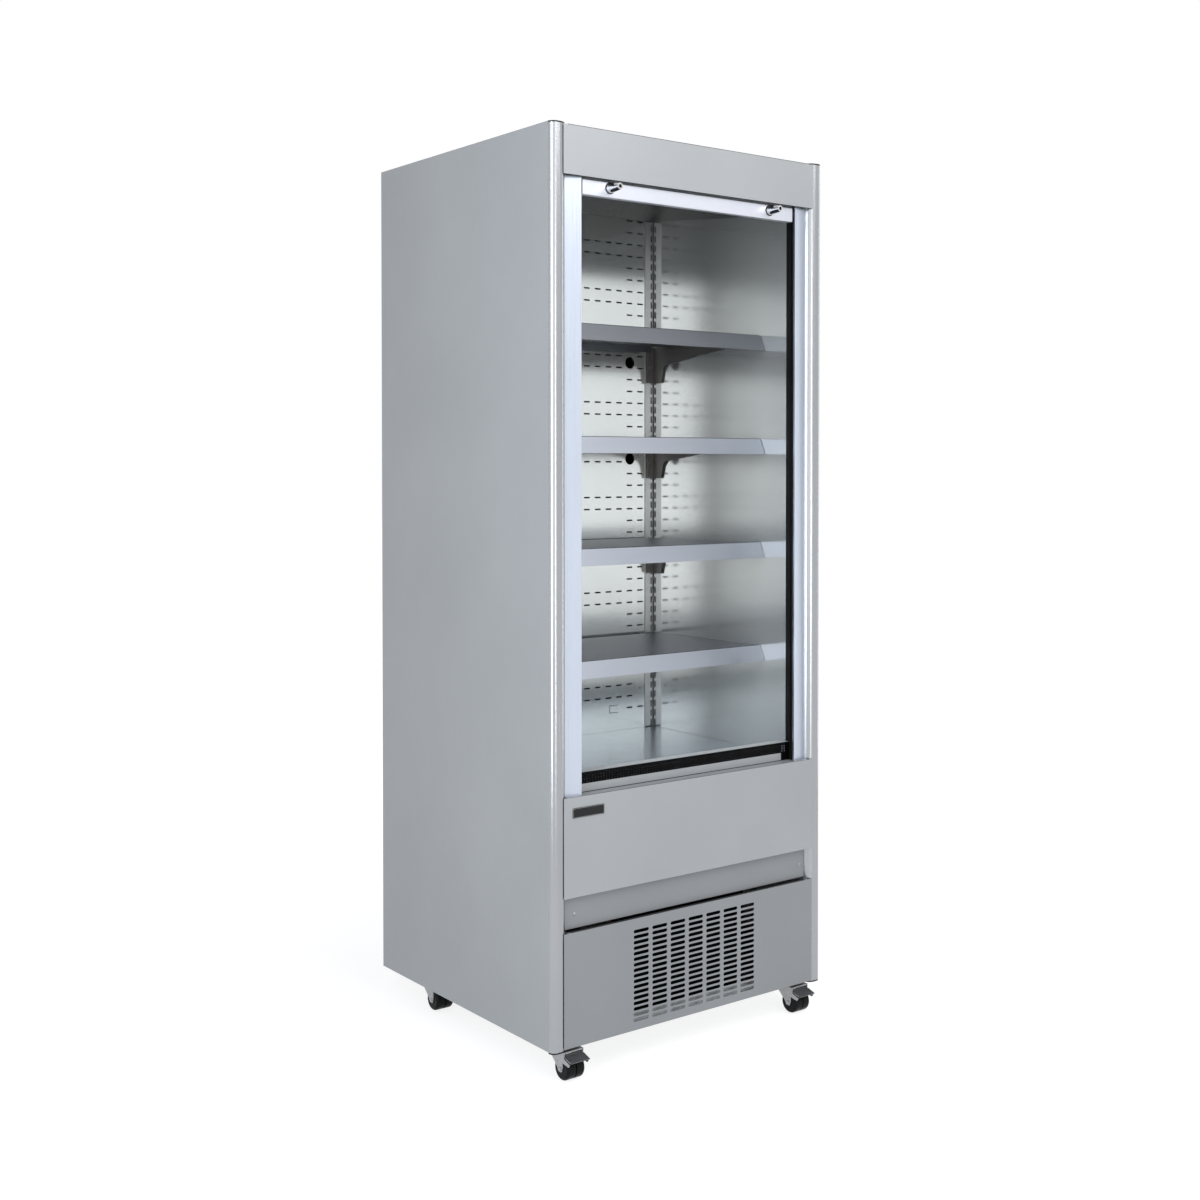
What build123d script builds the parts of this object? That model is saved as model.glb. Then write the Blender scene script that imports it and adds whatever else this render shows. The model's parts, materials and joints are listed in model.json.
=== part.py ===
from build123d import *
import os
from math import atan2, cos, radians, sin

os.makedirs("parts", exist_ok=True)

# An open multideck display fridge on four swivel castors, with a night blind drawn up behind its
# fascia. Sizes are in millimetres. The origin is on the floor under the middle of the cabinet, +Z is
# up and -Y is the open front. Places inside the cabinet are given as x from its middle, a depth
# behind its front plane and a height above its underside.

# Cabinet
width = 780
depth = 716
body_height = 1930
castor_height = 70
peg_reach = 24            # the blind's pegs stand this far in front of the front plane
skin = 1.2                # sheet of the panels and liners
fit = 0.1                 # flat faces of neighbouring fixed pieces
wall = 52                 # outside of a side to the face of its liner
rear_wall = 57            # outside of the rear to the face of the rear liner
duct_depth = 88           # back panel to rear liner
return_flange = 19        # inward flange of a side panel

# Levels above the underside
grille_bottom = 2
grille_top = 244
strip_bottom = 248
panel_bottom = 317
sill = 528
deck_top = 532
tub_floor = 372
foam_bottom = 322
fascia_height = 102
roof_drop = 4             # the sides stand this far above the roof
roof_foam = 38
ceiling_front = 110       # top of the fascia down to the ceiling's front edge
ceiling_bend = 218        # depth where the ceiling's steep front part ends
ceiling_knee = 96
ceiling_rear = 64

# Front frame
post_width = 41.5
post_depth = 30
nose_radius = 14
nose_flat = 20            # inner end of the post's flat front
shoulder = 15             # depth where the post's round front ends
chamber_wall = 2.5
chamber_front = 12.5
cap_height = 3
cap_rear = 16.5
panel_inset = 30          # the front panels start this far in from the sides
panel_lip = 6.5
panel_return = 28
land_reach = 81           # inner edge of the slanted land, from the side
land_depth = 8
land_sheet = 2.5
land_leg = 13

# Night blind
guide_front = 17.4
guide_web = 3.8
guide_leg = 3
guide_reach = 79
guide_rear_leg = 29
guide_rear_reach = 74
guide_block = 56
guide_block_front = 28
liner_front = 63
hem_width = 10
hem_gap = 2               # the liner's hem ends this far from the deck and the ceiling
guide_rib = 50
guide_foot = 14
rail_front = 12
rail_thickness = 15
rail_height = 34
rail_side_gap = 5.5
rail_wall = 2
rail_round = 2.5
rail_drop = 2             # fascia down to the rail
rail_rest = 2.5           # sill up to the rail when the blind is down
tongue_front = 21.5
tongue_thickness = 6
tongue_height = 12
tongue_lift = 18
tongue_gap = 0.5
peg_spacing = 462
peg_base_radius = 11
peg_tip_radius = 7
peg_bore_radius = 4
peg_bore_depth = 14
film_depth = 24
film_thickness = 0.4
film_width = 648
roller_depth = 43.2
roller_lift = 52          # fascia's bottom up to the roller's axis
roller_pin_radius = 4
running_fit = 0.05
curved_gap = 0.3          # round faces of different bodies

# Shelves
tiers = 5
notch_pitch = 25
notch_height = 17
notch_width = 5.5
notch_side = 55.7
notch_offset = 10.5
upright_width = 27
upright_sheet = 1.5
upright_leg = 29
upright_lip = 12
upright_gap = 2.7         # side liner to upright
upright_proud = 2         # an upright stands this far in front of the back panel
shelf_setback = 138.7
shelf_rear_gap = 26
shelf_side_gap = 2
shelf_lift = 4
lip_height = 37.5
lip_lean = 16.8
lip_top = 3
lip_step = 3.5
shelf_flange = 16
lip_hem = 10
bracket_side = 56.5
bracket_plate = 2
bracket_flange = 18.5
bracket_drop = 98
bracket_heel = 37
bracket_hole_radius = 4
bracket_hole_lift = 40
bracket_nose_drop = 12    # the arm's lower edge, below the shelf's top: front, knee, root and heel
bracket_knee = 230        # behind the shelf's front
bracket_knee_drop = 34
bracket_root = 20         # in front of the heel
bracket_root_drop = 53
bracket_heel_drop = 64
bracket_heel_round = 9
bracket_gap = 0.4         # upright to bracket
hook_notches = (1, 3)     # notches below the shelf that its hooks use
hook_height = 10
hook_reach = 7

# Back panel perforation
slot_length = 18
slot_height = 3.5
slot_pitch = 34.66
slot_row_pitch = 30.6
slot_row_drop = 4         # the panel's top down to its first row of slots
upper_slot_rows = 11
slot_seam_pitch = 45.2    # last of the upper rows to first of the lower rows
slot_deck_gap = 50
edge_columns = 2          # columns at each side that every row has
panel_screw_side = 96
panel_screw_lifts = (104.5, 715.3)
panel_screw_clear = 20
tab_side = 208            # the cable tab in the panel, from the middle
tab_lift = 57
tab_length = 28
tab_height = 20
tab_slit = 1.2
air_hole_radius = 15
air_hole_side = 129.3
air_hole_drop = 47

# Sill and lower front
return_front = 31
return_rear = 60
return_height = 42
return_side = 75
riser_height = 18
hole_size = 3.2
hole_pitch = 7.5
hole_row_pitch = 6
hole_rows = 4
hole_row_lift = 30.5      # sill up to the middle of the rows
hole_margin = 10
riser_insets = (95, 102.5)  # left and right: the riser ends this far in from its side
deck_side_gap = 1.5
deck_joint = 1.5          # deck to the strip behind it
duct_strip = 37           # width of that strip, which covers the foot of the air duct
deck_flange = 16
badge_width = 82
badge_height = 21
badge_side = 52
badge_lift = 167
badge_thickness = 1.5
badge_round = 2
screw_sides = (67, 55.5)  # left and right, from their sides
screw_lift = 30
screw_head_radius = 4
screw_head = 2
screw_radius = 2
vent_columns = 7
vent_rows = 17
vent_pitch = 51.6
vent_row_pitch = 12
vent_length = 42
vent_height = 7.5

# Castors
wheel_radius = 25
wheel_width = 46
wheel_round = 6
wheel_groove = 3
wheel_groove_depth = 5
axle_radius = 3
castor_side = 60
castor_front = 47
castor_rear = 144
castor_trail = 25
castor_plate = 60
castor_plate_sheet = 2.5
castor_bolt_spacing = 45
castor_bolt_radius = 3.2
race_radius = 17
race_height = 4.5
crown_gap = 0.3
crown_sheet = 3
crown_length = 30
kingpin_radius = 4
fork_sheet = 2
fork_gap = 0.5
fork_eye = 8
pedal_sheet = 2
pedal_length = 28
pedal_slope = 18
pedal_pin_radius = 2
pedal_barrel_radius = 3.5
pedal_pin_lead = 10       # the pedal's pin in front of the axle
pedal_pin_lift = 29

# Rear panel
inlet_side = 90
inlet_height = 60
inlet_width = 50
inlet_tall = 28
inlet_depth = 16
inlet_rim = 5
socket_width = 24
socket_tall = 16
socket_depth = 12
louvre_length = 60
louvre_height = 6
louvre_pitch = 78
louvre_row_pitch = 18
louvre_columns = 6
louvre_rows = 10

# Refrigeration, worked out from what such a cabinet holds
fin_depth = 40
condenser_half = 180
condenser_height = 260
shroud_depth = 40
condenser_fan_radius = 105
evaporator_fan_radius = 54
evaporator_fan_side = 150
fan_depth = 22
fan_hub_radius = 20
fan_blades = 5
shaft_radius = 4
motor_radius = 28
motor_length = 34
pipe_radius = 4
pipe_bend = 16
return_bend = 10          # half the distance between a return bend's two tubes
condenser_rows = 5
condenser_row_pitch = 48
condenser_row_lift = 30
evaporator_front = 220
evaporator_rear = 340
evaporator_side = 48
evaporator_rows = 3
evaporator_row_pitch = 40
evaporator_row_lift = 32
evaporator_columns = 3
evaporator_column_pitch = 35
evaporator_column_lead = 25
evaporator_fan_depth = 131
fan_tip_gap = 4
fan_lead = 8              # a fan's middle in front of its plate's rear face, less half its depth
blade_pitch = 28
blade_sheet = 2
blade_share = 0.55        # blade's width as a share of the fan's radius
bar_gap = 14              # fan plate to the bar that holds the motor
bar_sheet = 3
bar_width = 20
bar_overhang = 12
stay_radius = 4
stay_inset = 6
compressor_x = 120
compressor_depth = 350
compressor_radius = 80
compressor_height = 178
compressor_round = 24
compressor_plate = (170, 150, 3)
compressor_feet = (140, 120)
foot_radius = 11
foot_height = 8
port_side = 30            # the compressor's ports, from its axis
tray_width = 300
tray_depth = 170
tray_height = 48
tray_wall = 1.5
tray_setback = 139
controller_side = 40
controller_front = 150
controller_size = (100, 110, 78)
controller_round = 4
gland_radius = 6
drain_radius = 9
drain_wall = 1.5
drain_setback = 59        # liner's rear to the drain and the suction pipe
liquid_setback = 19
suction_side = 160
liquid_side = 240
discharge_side = 36       # beyond the condenser's end
discharge_lift = 95       # over the compressor's crown
suction_lift = 60
discharge_drop = 15       # the condenser's top down to the pipe that enters it
liquid_lift = 8           # the condenser's bottom up to the pipe that leaves it

# Worked out
half = width / 2
front_y = (peg_reach - depth) / 2
roof = body_height - roof_drop
fascia_bottom = roof - fascia_height
liner_roof = roof - skin - roof_foam
back_panel_depth = depth - rear_wall - duct_depth
liner_rear = depth - rear_wall
opening_half = half - land_reach
rail_half = opening_half - rail_side_gap
rail_top = fascia_bottom - rail_drop
rail_bottom = rail_top - rail_height
rail_travel = rail_bottom - sill - rail_rest
roller_height = fascia_bottom + roller_lift
roller_radius = roller_depth - film_depth - film_thickness / 2 - curved_gap
ceiling_low = roof - ceiling_front
tier_notches = int((ceiling_low - deck_top) / tiers / notch_pitch)
shelf_tops = [deck_top + shelf_lift + tier * tier_notches * notch_pitch for tier in range(1, tiers)]
inner_half = half - wall
castor_places = {
    "front_left": (-half + castor_side, castor_front),
    "front_right": (half - castor_side, castor_front),
    "rear_left": (-half + castor_side, depth - castor_rear),
    "rear_right": (half - castor_side, depth - castor_rear),
}
pipe_ports = [
    (0, liner_rear - drain_setback, drain_radius),
    (suction_side, liner_rear - drain_setback, pipe_radius),
    (liquid_side, liner_rear - liquid_setback, pipe_radius),
]


def back(distance):
    """The y of a place this far behind the front plane."""
    return front_y + distance


def up(height):
    """The z of a place this far above the cabinet's underside."""
    return castor_height + height


def block(x, y, z, mode=Mode.ADD):
    """A box between two x, two depths and two heights."""
    with Locations(((x[0] + x[1]) / 2, back((y[0] + y[1]) / 2), up((z[0] + z[1]) / 2))):
        Box(x[1] - x[0], y[1] - y[0], z[1] - z[0], mode=mode)


def rod(radius, x, y, z, mode=Mode.ADD):
    """A round bar along the one direction that is given as a pair."""
    if isinstance(x, tuple):
        with Locations(((x[0] + x[1]) / 2, back(y), up(z))):
            Cylinder(radius, x[1] - x[0], rotation=(0, 90, 0), mode=mode)
    elif isinstance(y, tuple):
        with Locations((x, back((y[0] + y[1]) / 2), up(z))):
            Cylinder(radius, y[1] - y[0], rotation=(90, 0, 0), mode=mode)
    else:
        with Locations((x, back(y), up((z[0] + z[1]) / 2))):
            Cylinder(radius, z[1] - z[0], mode=mode)


def fold_outline(bends, thickness):
    """The closed outline of a folded sheet that lies left of the walk along its outer bends."""
    outer = [Vector(back(y), up(z)) for y, z in bends]
    inner = []
    for place, corner in enumerate(outer):
        before = outer[max(place, 1)] - outer[max(place, 1) - 1]
        after_end = min(place + 1, len(outer) - 1)
        after = outer[after_end] - outer[after_end - 1]
        left_before = Vector(-before.Y, before.X).normalized()
        left_after = Vector(-after.Y, after.X).normalized()
        mitre = (left_before + left_after) / (1 + left_before.dot(left_after))
        inner.append(corner + mitre * thickness)
    return [(corner.X, corner.Y) for corner in outer + inner[::-1]]


def folded_sheet(bends, half_length, thickness=skin):
    """A sheet folded along (depth, height) bends, as long each way from the middle."""
    with BuildSketch(Plane.YZ) as profile:
        with BuildLine():
            Polyline(*fold_outline(bends, thickness), close=True)
        make_face()
    extrude(profile.sketch, amount=half_length, both=True)


def panel_frame(bottom, top):
    """The lips behind a front panel's top and bottom edges and its legs along the posts."""
    leg_outer = half - post_width - curved_gap
    for low, high in ((bottom, bottom + skin), (top - skin, top)):
        block((-leg_outer, leg_outer), (0, panel_lip), (low, high))
    for side in (-1, 1):
        leg = sorted((side * leg_outer, side * (leg_outer - skin)))
        block(leg, (0, panel_return), (bottom, top))


def front_panel(bottom, top):
    """A plain tray-shaped front panel."""
    face_half = half - panel_inset
    block((-face_half, face_half), (0, skin), (bottom, top))
    panel_frame(bottom, top)


def perforated_plate(plane, size, punches, thickness):
    """A flat plate on a plane, with the outlines of its holes punched through it."""
    with BuildSketch() as blank:
        Rectangle(*size)
    extrude(plane * Face(blank.face().outer_wire(), punches), amount=thickness, clean=False)


def rectangle_hole(length, height):
    """The outline of a rectangular hole about the origin."""
    with BuildSketch() as hole:
        Rectangle(length, height)
    return hole.face().outer_wire()


def punched(hole, places):
    """The outline of one hole at every place."""
    return [hole.moved(Location((x, y, 0))) for x, y in places]


def grid(pitch_x, pitch_y, columns, rows, middle=(0, 0)):
    """The places of a grid of holes about a middle."""
    return [(middle[0] + (column - (columns - 1) / 2) * pitch_x, middle[1] + (row - (rows - 1) / 2) * pitch_y)
            for column in range(columns) for row in range(rows)]


def facing_plane(distance, height):
    """An upright plane behind the front plane, centred at a height, whose plates grow to the rear."""
    return Plane(origin=(0, back(distance), up(height)), x_dir=(-1, 0, 0), z_dir=(0, 1, 0))


def both_sides(pair):
    """An x range given for the right side, mirrored to the left one as well."""
    return [pair, (-pair[1], -pair[0])]


def write(piece, label):
    """Name a finished piece and keep it."""
    piece.part.label = label
    export_step(piece.part, f"parts/{label}.step")


# ---------------------------------------------------------------- outer panels and insulation
with BuildPart() as side_panels:
    for skin_x, flange_x in zip(both_sides((half - skin, half)),
                                both_sides((half - skin - return_flange, half - skin))):
        block(skin_x, (nose_radius, depth), (0, body_height))
        block(flange_x, (depth - skin, depth), (0, body_height))
        block(flange_x, (post_depth + 1, depth - skin), (body_height - skin, body_height))
write(side_panels, "side_panels")

rear_panel_back = depth - skin - fit
rear_panel_half = half - skin - fit
inlet_x = -rear_panel_half + inlet_side
with BuildPart() as rear_panel:
    rear_panel_top = roof - skin - fit
    rear_middle = (grille_bottom + rear_panel_top) / 2
    perforated_plate(facing_plane(rear_panel_back - skin, rear_middle),
                     (2 * rear_panel_half, rear_panel_top - grille_bottom),
                     punched(rectangle_hole(louvre_length, louvre_height),
                             grid(louvre_pitch, louvre_row_pitch, louvre_columns, louvre_rows,
                                  (0, (grille_bottom + grille_top) / 2 - rear_middle))), skin)
    block((inlet_x - inlet_width / 2, inlet_x + inlet_width / 2), (rear_panel_back - skin * 2, depth),
          (inlet_height - inlet_tall / 2, inlet_height + inlet_tall / 2), mode=Mode.SUBTRACT)
write(rear_panel, "rear_panel")

with BuildPart() as power_inlet:
    body_half = inlet_width / 2 - fit
    block((inlet_x - body_half, inlet_x + body_half), (rear_panel_back - inlet_depth, rear_panel_back),
          (inlet_height - inlet_tall / 2 + fit, inlet_height + inlet_tall / 2 - fit))
    block((inlet_x - body_half - inlet_rim, inlet_x + body_half + inlet_rim), (rear_panel_back, depth),
          (inlet_height - inlet_tall / 2 - inlet_rim, inlet_height + inlet_tall / 2 + inlet_rim))
    block((inlet_x - socket_width / 2, inlet_x + socket_width / 2), (rear_panel_back - socket_depth, depth),
          (inlet_height - socket_tall / 2, inlet_height + socket_tall / 2), mode=Mode.SUBTRACT)
write(power_inlet, "power_inlet")

with BuildPart() as roof_panel:
    block((-rear_panel_half, rear_panel_half), (post_depth + curved_gap, rear_panel_back),
          (roof - skin, roof))
    front_half = half - post_width - curved_gap - skin - fit
    block((-front_half, front_half), (panel_lip + fit, post_depth + curved_gap), (roof - skin, roof))
write(roof_panel, "roof_panel")

foam_side = skin + fit
liner_back_face = wall - skin - fit
foam_rear = rear_panel_back - skin - fit
foam_top = roof - skin - fit
rear_foam_front = liner_rear + skin + fit
tub_front = return_front + 1
with BuildPart() as foam_insulation:
    for outer, inner in ((half - foam_side, half - liner_back_face),
                         (-half + liner_back_face, -half + foam_side)):
        block((min(outer, inner), max(outer, inner)), (post_depth + fit, foam_rear),
              (foam_bottom, foam_top))
    for cut in both_sides((half - wall, half - post_width - land_sheet)):
        block(cut, (0, liner_front + fit), (foam_bottom - 1, foam_top + 1), mode=Mode.SUBTRACT)
    block((-inner_half, inner_half), (rear_foam_front, foam_rear), (foam_bottom, liner_roof - fit))
    block((-inner_half, inner_half), (liner_front + skin * 2, foam_rear), (liner_roof + skin + fit, foam_top))
    block((-inner_half, inner_half), (skin + fit, rear_foam_front - 0.2), (foam_bottom, tub_floor - fit))
    block((-inner_half, inner_half), (skin + fit, tub_front - 0.2), (foam_bottom, sill - skin - fit))
    for x, y, radius in pipe_ports:
        rod(radius + curved_gap, x, y, (foam_bottom - 1, tub_floor + 1), mode=Mode.SUBTRACT)
write(foam_insulation, "foam_insulation")

# ---------------------------------------------------------------- front frame
def post_sketch(height, rear):
    """The left bullnose post's outline at a height, ending at a depth behind the front plane."""
    with BuildSketch(Plane.XY.offset(up(height))) as outline:
        with BuildLine():
            nose = TangentArc((-half, back(nose_radius)), (-half + nose_radius, back(0)), tangent=(0, -1))
            flat = Line(nose @ 1, (-half + nose_flat, back(0)))
            round_in = TangentArc(flat @ 1, (-half + post_width, back(shoulder)), tangent=(1, 0))
            Polyline(round_in @ 1, (-half + post_width, back(rear)), (-half + foam_side, back(rear)),
                     (-half + foam_side, back(nose_radius)), nose @ 0)
        make_face()
    return outline.sketch


with BuildPart() as corner_posts:
    extrude(post_sketch(0, post_depth), amount=body_height - cap_height)
    block((-half + foam_side + chamber_wall, -half + post_width - chamber_wall),
          (chamber_front, post_depth - chamber_wall), (-1, body_height), mode=Mode.SUBTRACT)
    mirror(about=Plane.YZ)
write(corner_posts, "corner_posts")

with BuildPart() as post_end_caps:
    extrude(post_sketch(body_height - cap_height, post_depth), amount=cap_height)
    extrude(post_sketch(-cap_height, cap_rear), amount=cap_height)
    mirror(about=Plane.YZ)
write(post_end_caps, "post_end_caps")

with BuildPart() as land_trims:
    lean = (land_depth - shoulder) / (land_reach - post_width)
    leg_x = post_width + fit
    with BuildSketch(Plane.XY.offset(up(sill))):
        with BuildLine():
            front_edge = shoulder
            back_edge = shoulder + land_sheet * (1 + lean ** 2) ** 0.5
            lip_x = land_reach - land_sheet
            points = [
                (leg_x, front_edge),
                (land_reach, land_depth),
                (land_reach, land_leg),
                (lip_x, land_leg),
                (lip_x, back_edge + lean * (lip_x - leg_x)),
                (leg_x + land_sheet - fit, back_edge + lean * land_sheet),
                (leg_x + land_sheet - fit, guide_block_front),
                (leg_x, guide_block_front),
            ]
            Polyline(*[(-half + x, back(y)) for x, y in points], close=True)
        make_face()
    extrude(amount=fascia_bottom - sill)
    mirror(about=Plane.YZ)
write(land_trims, "land_trims")

guide_outer = post_width + land_sheet + fit + 0.1
with BuildPart() as guide_channels:
    guide_top = rail_top
    guide_bottom = sill + fit
    for x_range, y_range, z_range in (
        ((guide_outer, guide_reach), (guide_front, guide_front + guide_leg), (guide_bottom, guide_top)),
        ((guide_outer, guide_outer + guide_web), (guide_front, guide_block_front + 1),
         (guide_bottom, guide_top)),
        ((guide_outer, guide_block), (guide_block_front, liner_front), (guide_bottom, guide_top)),
        ((guide_block - 1, guide_rear_reach), (guide_rear_leg, guide_rear_leg + guide_leg),
         (guide_bottom, guide_top)),
        ((guide_block - 1, guide_block + 2), (guide_rib, guide_rib + 2), (guide_bottom, guide_top)),
        ((guide_outer, guide_rear_reach), (guide_front, guide_rear_leg + 1),
         (guide_bottom, guide_bottom + guide_foot)),
    ):
        block((-half + x_range[0], -half + x_range[1]), y_range, z_range)
    mirror(about=Plane.YZ)
write(guide_channels, "guide_channels")

with BuildPart() as fascia:
    front_panel(fascia_bottom, roof)
write(fascia, "fascia")

with BuildPart() as lower_front_panel:
    front_panel(panel_bottom, sill)
    flange_half = half - post_width - curved_gap
    block((-flange_half, flange_half), (0, return_front - skin - fit), (sill - skin, sill))
    riser_ends = (-half + riser_insets[0], half - riser_insets[1])
    riser_back = return_front - fit
    block(riser_ends, (riser_back - 2 * skin, riser_back), (sill - skin, sill))
    block(riser_ends, (riser_back - skin, riser_back), (sill - skin, sill + riser_height))
write(lower_front_panel, "lower_front_panel")

with BuildPart() as badge:
    block((-half + badge_side, -half + badge_side + badge_width), (-badge_thickness, 0),
          (panel_bottom + badge_lift, panel_bottom + badge_lift + badge_height))
    fillet(badge.edges().filter_by(Axis.Y), badge_round)
    fillet(badge.faces().sort_by(Axis.Y)[0].edges(), badge_thickness / 3)
write(badge, "badge")

strip_half = half - post_width - curved_gap
strip_screw_places = (-half + screw_sides[0], half - screw_sides[1])
with BuildPart() as screw_strip:
    block((-strip_half, strip_half), (shoulder, shoulder + skin), (strip_bottom, panel_bottom - 0.5))
    for screw_x in strip_screw_places:
        rod(screw_radius + fit, screw_x, (0, post_depth), strip_bottom + screw_lift, mode=Mode.SUBTRACT)
write(screw_strip, "screw_strip")

cross_front = shoulder + skin + fit
cross_rear = 40
cross_sheet = 2
with BuildPart() as cross_rail:
    folded_sheet([(cross_rear, panel_bottom - 1), (cross_front, panel_bottom - 1),
                  (cross_front, strip_bottom + 2), (cross_rear, strip_bottom + 2)],
                 strip_half, cross_sheet)
    for screw_x in strip_screw_places:
        rod(screw_radius + fit, screw_x, (0, post_depth), strip_bottom + screw_lift, mode=Mode.SUBTRACT)
write(cross_rail, "cross_rail")

with BuildPart() as strip_screws:
    for screw_x in strip_screw_places:
        rod(screw_head_radius, screw_x, (shoulder - screw_head, shoulder), strip_bottom + screw_lift)
        rod(screw_radius, screw_x, (shoulder - 1, post_depth - 4), strip_bottom + screw_lift)
    fillet(strip_screws.faces().filter_by(Axis.Y).group_by(Axis.Y)[0].edges(), screw_head / 2)
write(strip_screws, "strip_screws")

with BuildPart() as grille_panel:
    panel_frame(grille_bottom, grille_top)
    with BuildSketch() as vent:
        SlotOverall(vent_length, vent_height)
    perforated_plate(facing_plane(0, (grille_bottom + grille_top) / 2),
                     (2 * (half - panel_inset), grille_top - grille_bottom),
                     punched(vent.face().outer_wire(),
                             grid(vent_pitch, vent_row_pitch, vent_columns, vent_rows, (0, -3))), skin)
write(grille_panel, "grille_panel")

# ---------------------------------------------------------------- liners, tub and air ducts
with BuildPart() as side_liners:
    for sheet_x, hem_x in zip(both_sides((inner_half, inner_half + skin)),
                              both_sides((inner_half - skin, inner_half))):
        block(sheet_x, (liner_front + fit, liner_rear), (tub_floor, liner_roof - fit))
        block(hem_x, (liner_front + fit, liner_front + hem_width),
              (deck_top + hem_gap, ceiling_low - hem_gap))
write(side_liners, "side_liners")

between_liners = inner_half - fit
ceiling_slope_end = (ceiling_bend, roof - ceiling_knee)
with BuildPart() as rear_and_roof_liner:
    folded_sheet([(liner_front + skin + 2 * fit, liner_roof), (liner_rear, liner_roof),
                  (liner_rear, tub_floor)], between_liners)
write(rear_and_roof_liner, "rear_and_roof_liner")

outlet_start = 8
outlet_width = 60
outlet_half = inner_half - 12
outlet_depth = 18
cell_radius = 4.6
cell_pitch = 10.6
cell_rows = 5
slope_run = ceiling_slope_end[0] - liner_front
slope_rise = ceiling_slope_end[1] - ceiling_low
slope = atan2(slope_rise, slope_run)
outlet_middle = outlet_start + outlet_width / 2
outlet_plane = Plane(
    origin=(0, back(liner_front + outlet_middle * cos(slope)), up(ceiling_low + outlet_middle * sin(slope))),
    x_dir=(1, 0, 0), z_dir=(0, -sin(slope), cos(slope)))

with BuildPart() as ceiling_panel:
    folded_sheet([(liner_front + fit, liner_roof - fit), (liner_front + fit, ceiling_low),
                  ceiling_slope_end, (back_panel_depth, roof - ceiling_rear)], inner_half - 0.6)
    with BuildSketch(outlet_plane):
        Rectangle(outlet_half * 2, outlet_width)
    extrude(amount=skin * 3, both=True, mode=Mode.SUBTRACT)
write(ceiling_panel, "ceiling_panel")

with BuildPart() as air_outlet_honeycomb:
    cell_columns = int((outlet_half * 2 - 4 * cell_radius) / (cell_pitch * cos(radians(30))))
    cell_places = HexLocations(cell_pitch / 2, cell_columns, cell_rows).local_locations
    with BuildSketch() as cell:
        RegularPolygon(cell_radius, 6, major_radius=False)
    cell_outline = cell.face().outer_wire()
    perforated_plate(outlet_plane, (outlet_half * 2 - 2 * fit, outlet_width - 2 * fit),
                     [cell_outline.moved(place) for place in cell_places], outlet_depth)
write(air_outlet_honeycomb, "air_outlet_honeycomb")

upright_top = roof - ceiling_rear - 1
upright_inner = inner_half - upright_width
upright_front = back_panel_depth - upright_proud
with BuildPart() as shelf_uprights:
    upright_outer = inner_half - upright_gap
    with BuildSketch(Plane.XY.offset(up(deck_top + 2))):
        with BuildLine():
            Polyline(*[(x, back(y)) for x, y in (
                (upright_inner, upright_front), (upright_outer, upright_front),
                (upright_outer, upright_front + upright_leg),
                (upright_outer - upright_sheet, upright_front + upright_leg),
                (upright_outer - upright_sheet, upright_front + upright_sheet),
                (upright_inner + upright_sheet, upright_front + upright_sheet),
                (upright_inner + upright_sheet, upright_front + upright_lip),
                (upright_inner, upright_front + upright_lip))], close=True)
        make_face()
    extrude(amount=upright_top - deck_top - 2)
    notch_count = int((upright_top - deck_top - notch_offset - notch_height / 2) / notch_pitch) + 1
    notch_x = half - notch_side - notch_width / 2
    with BuildSketch(Plane.XZ.offset(-back(upright_front))):
        with Locations(*[(notch_x, up(deck_top + notch_offset + notch * notch_pitch))
                         for notch in range(notch_count)]):
            Rectangle(notch_width, notch_height)
    extrude(amount=upright_sheet, both=True, mode=Mode.SUBTRACT)
    mirror(about=Plane.YZ)
write(shelf_uprights, "shelf_uprights")

panel_half = upright_inner - 4 * fit
panel_top = roof - ceiling_rear - 0.3
panel_bottom_edge = deck_top + fit
panel_middle = (panel_bottom_edge + panel_top) / 2
full_columns = int((2 * panel_half - slot_length) / slot_pitch) + 1
first_row = panel_top - slot_row_drop
lower_first_row = first_row - (upper_slot_rows - 1) * slot_row_pitch - slot_seam_pitch
lower_slot_rows = int((lower_first_row - deck_top - slot_deck_gap) / slot_row_pitch) + 1
slot_rows = [(first_row - row * slot_row_pitch, row % 4 in (2, 3)) for row in range(upper_slot_rows)]
slot_rows += [(lower_first_row - row * slot_row_pitch, row % 4 in (0, 1)) for row in range(lower_slot_rows)]
hole_places = [(side * (half - air_hole_side), top - air_hole_drop)
               for top in shelf_tops for side in (-1, 1)]
screw_places = [(side * (half - panel_screw_side), deck_top + lift)
                for lift in panel_screw_lifts for side in (-1, 1)]
tab_place = (tab_side, deck_top + tab_lift)


def is_free(x, height):
    """Whether a slot here stays clear of the panel's air holes, screws and cable tab."""
    kept = [(place, air_hole_radius + slot_height) for place in hole_places]
    kept += [(place, panel_screw_clear) for place in screw_places]
    kept += [(tab_place, tab_length / 2 + slot_height)]
    return all(abs(x - place[0]) > clear + slot_length / 2 or abs(height - place[1]) > clear
               for place, clear in kept)


def on_panel(places):
    """Places from the middle and the underside, as places on the panel seen from behind."""
    return [(-x, height - panel_middle) for x, height in places]


slot_places = []
for height, is_full in slot_rows:
    for column in range(full_columns):
        slot_x = (column - (full_columns - 1) / 2) * slot_pitch
        is_edge = min(column, full_columns - 1 - column) < edge_columns
        if (is_full or is_edge) and is_free(slot_x, height):
            slot_places.append((slot_x, height))

with BuildSketch() as tab_slit_outline:
    Rectangle(tab_length, tab_height)
    with Locations((-tab_slit, 0)):
        Rectangle(tab_length, tab_height - 2 * tab_slit, mode=Mode.SUBTRACT)

with BuildPart() as back_panel:
    perforated_plate(facing_plane(back_panel_depth, panel_middle),
                     (2 * panel_half, panel_top - panel_bottom_edge),
                     punched(rectangle_hole(slot_length, slot_height), on_panel(slot_places))
                     + punched(Wire.make_circle(air_hole_radius), on_panel(hole_places))
                     + punched(tab_slit_outline.face().outer_wire(), on_panel([tab_place])), skin)
write(back_panel, "back_panel")

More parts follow.
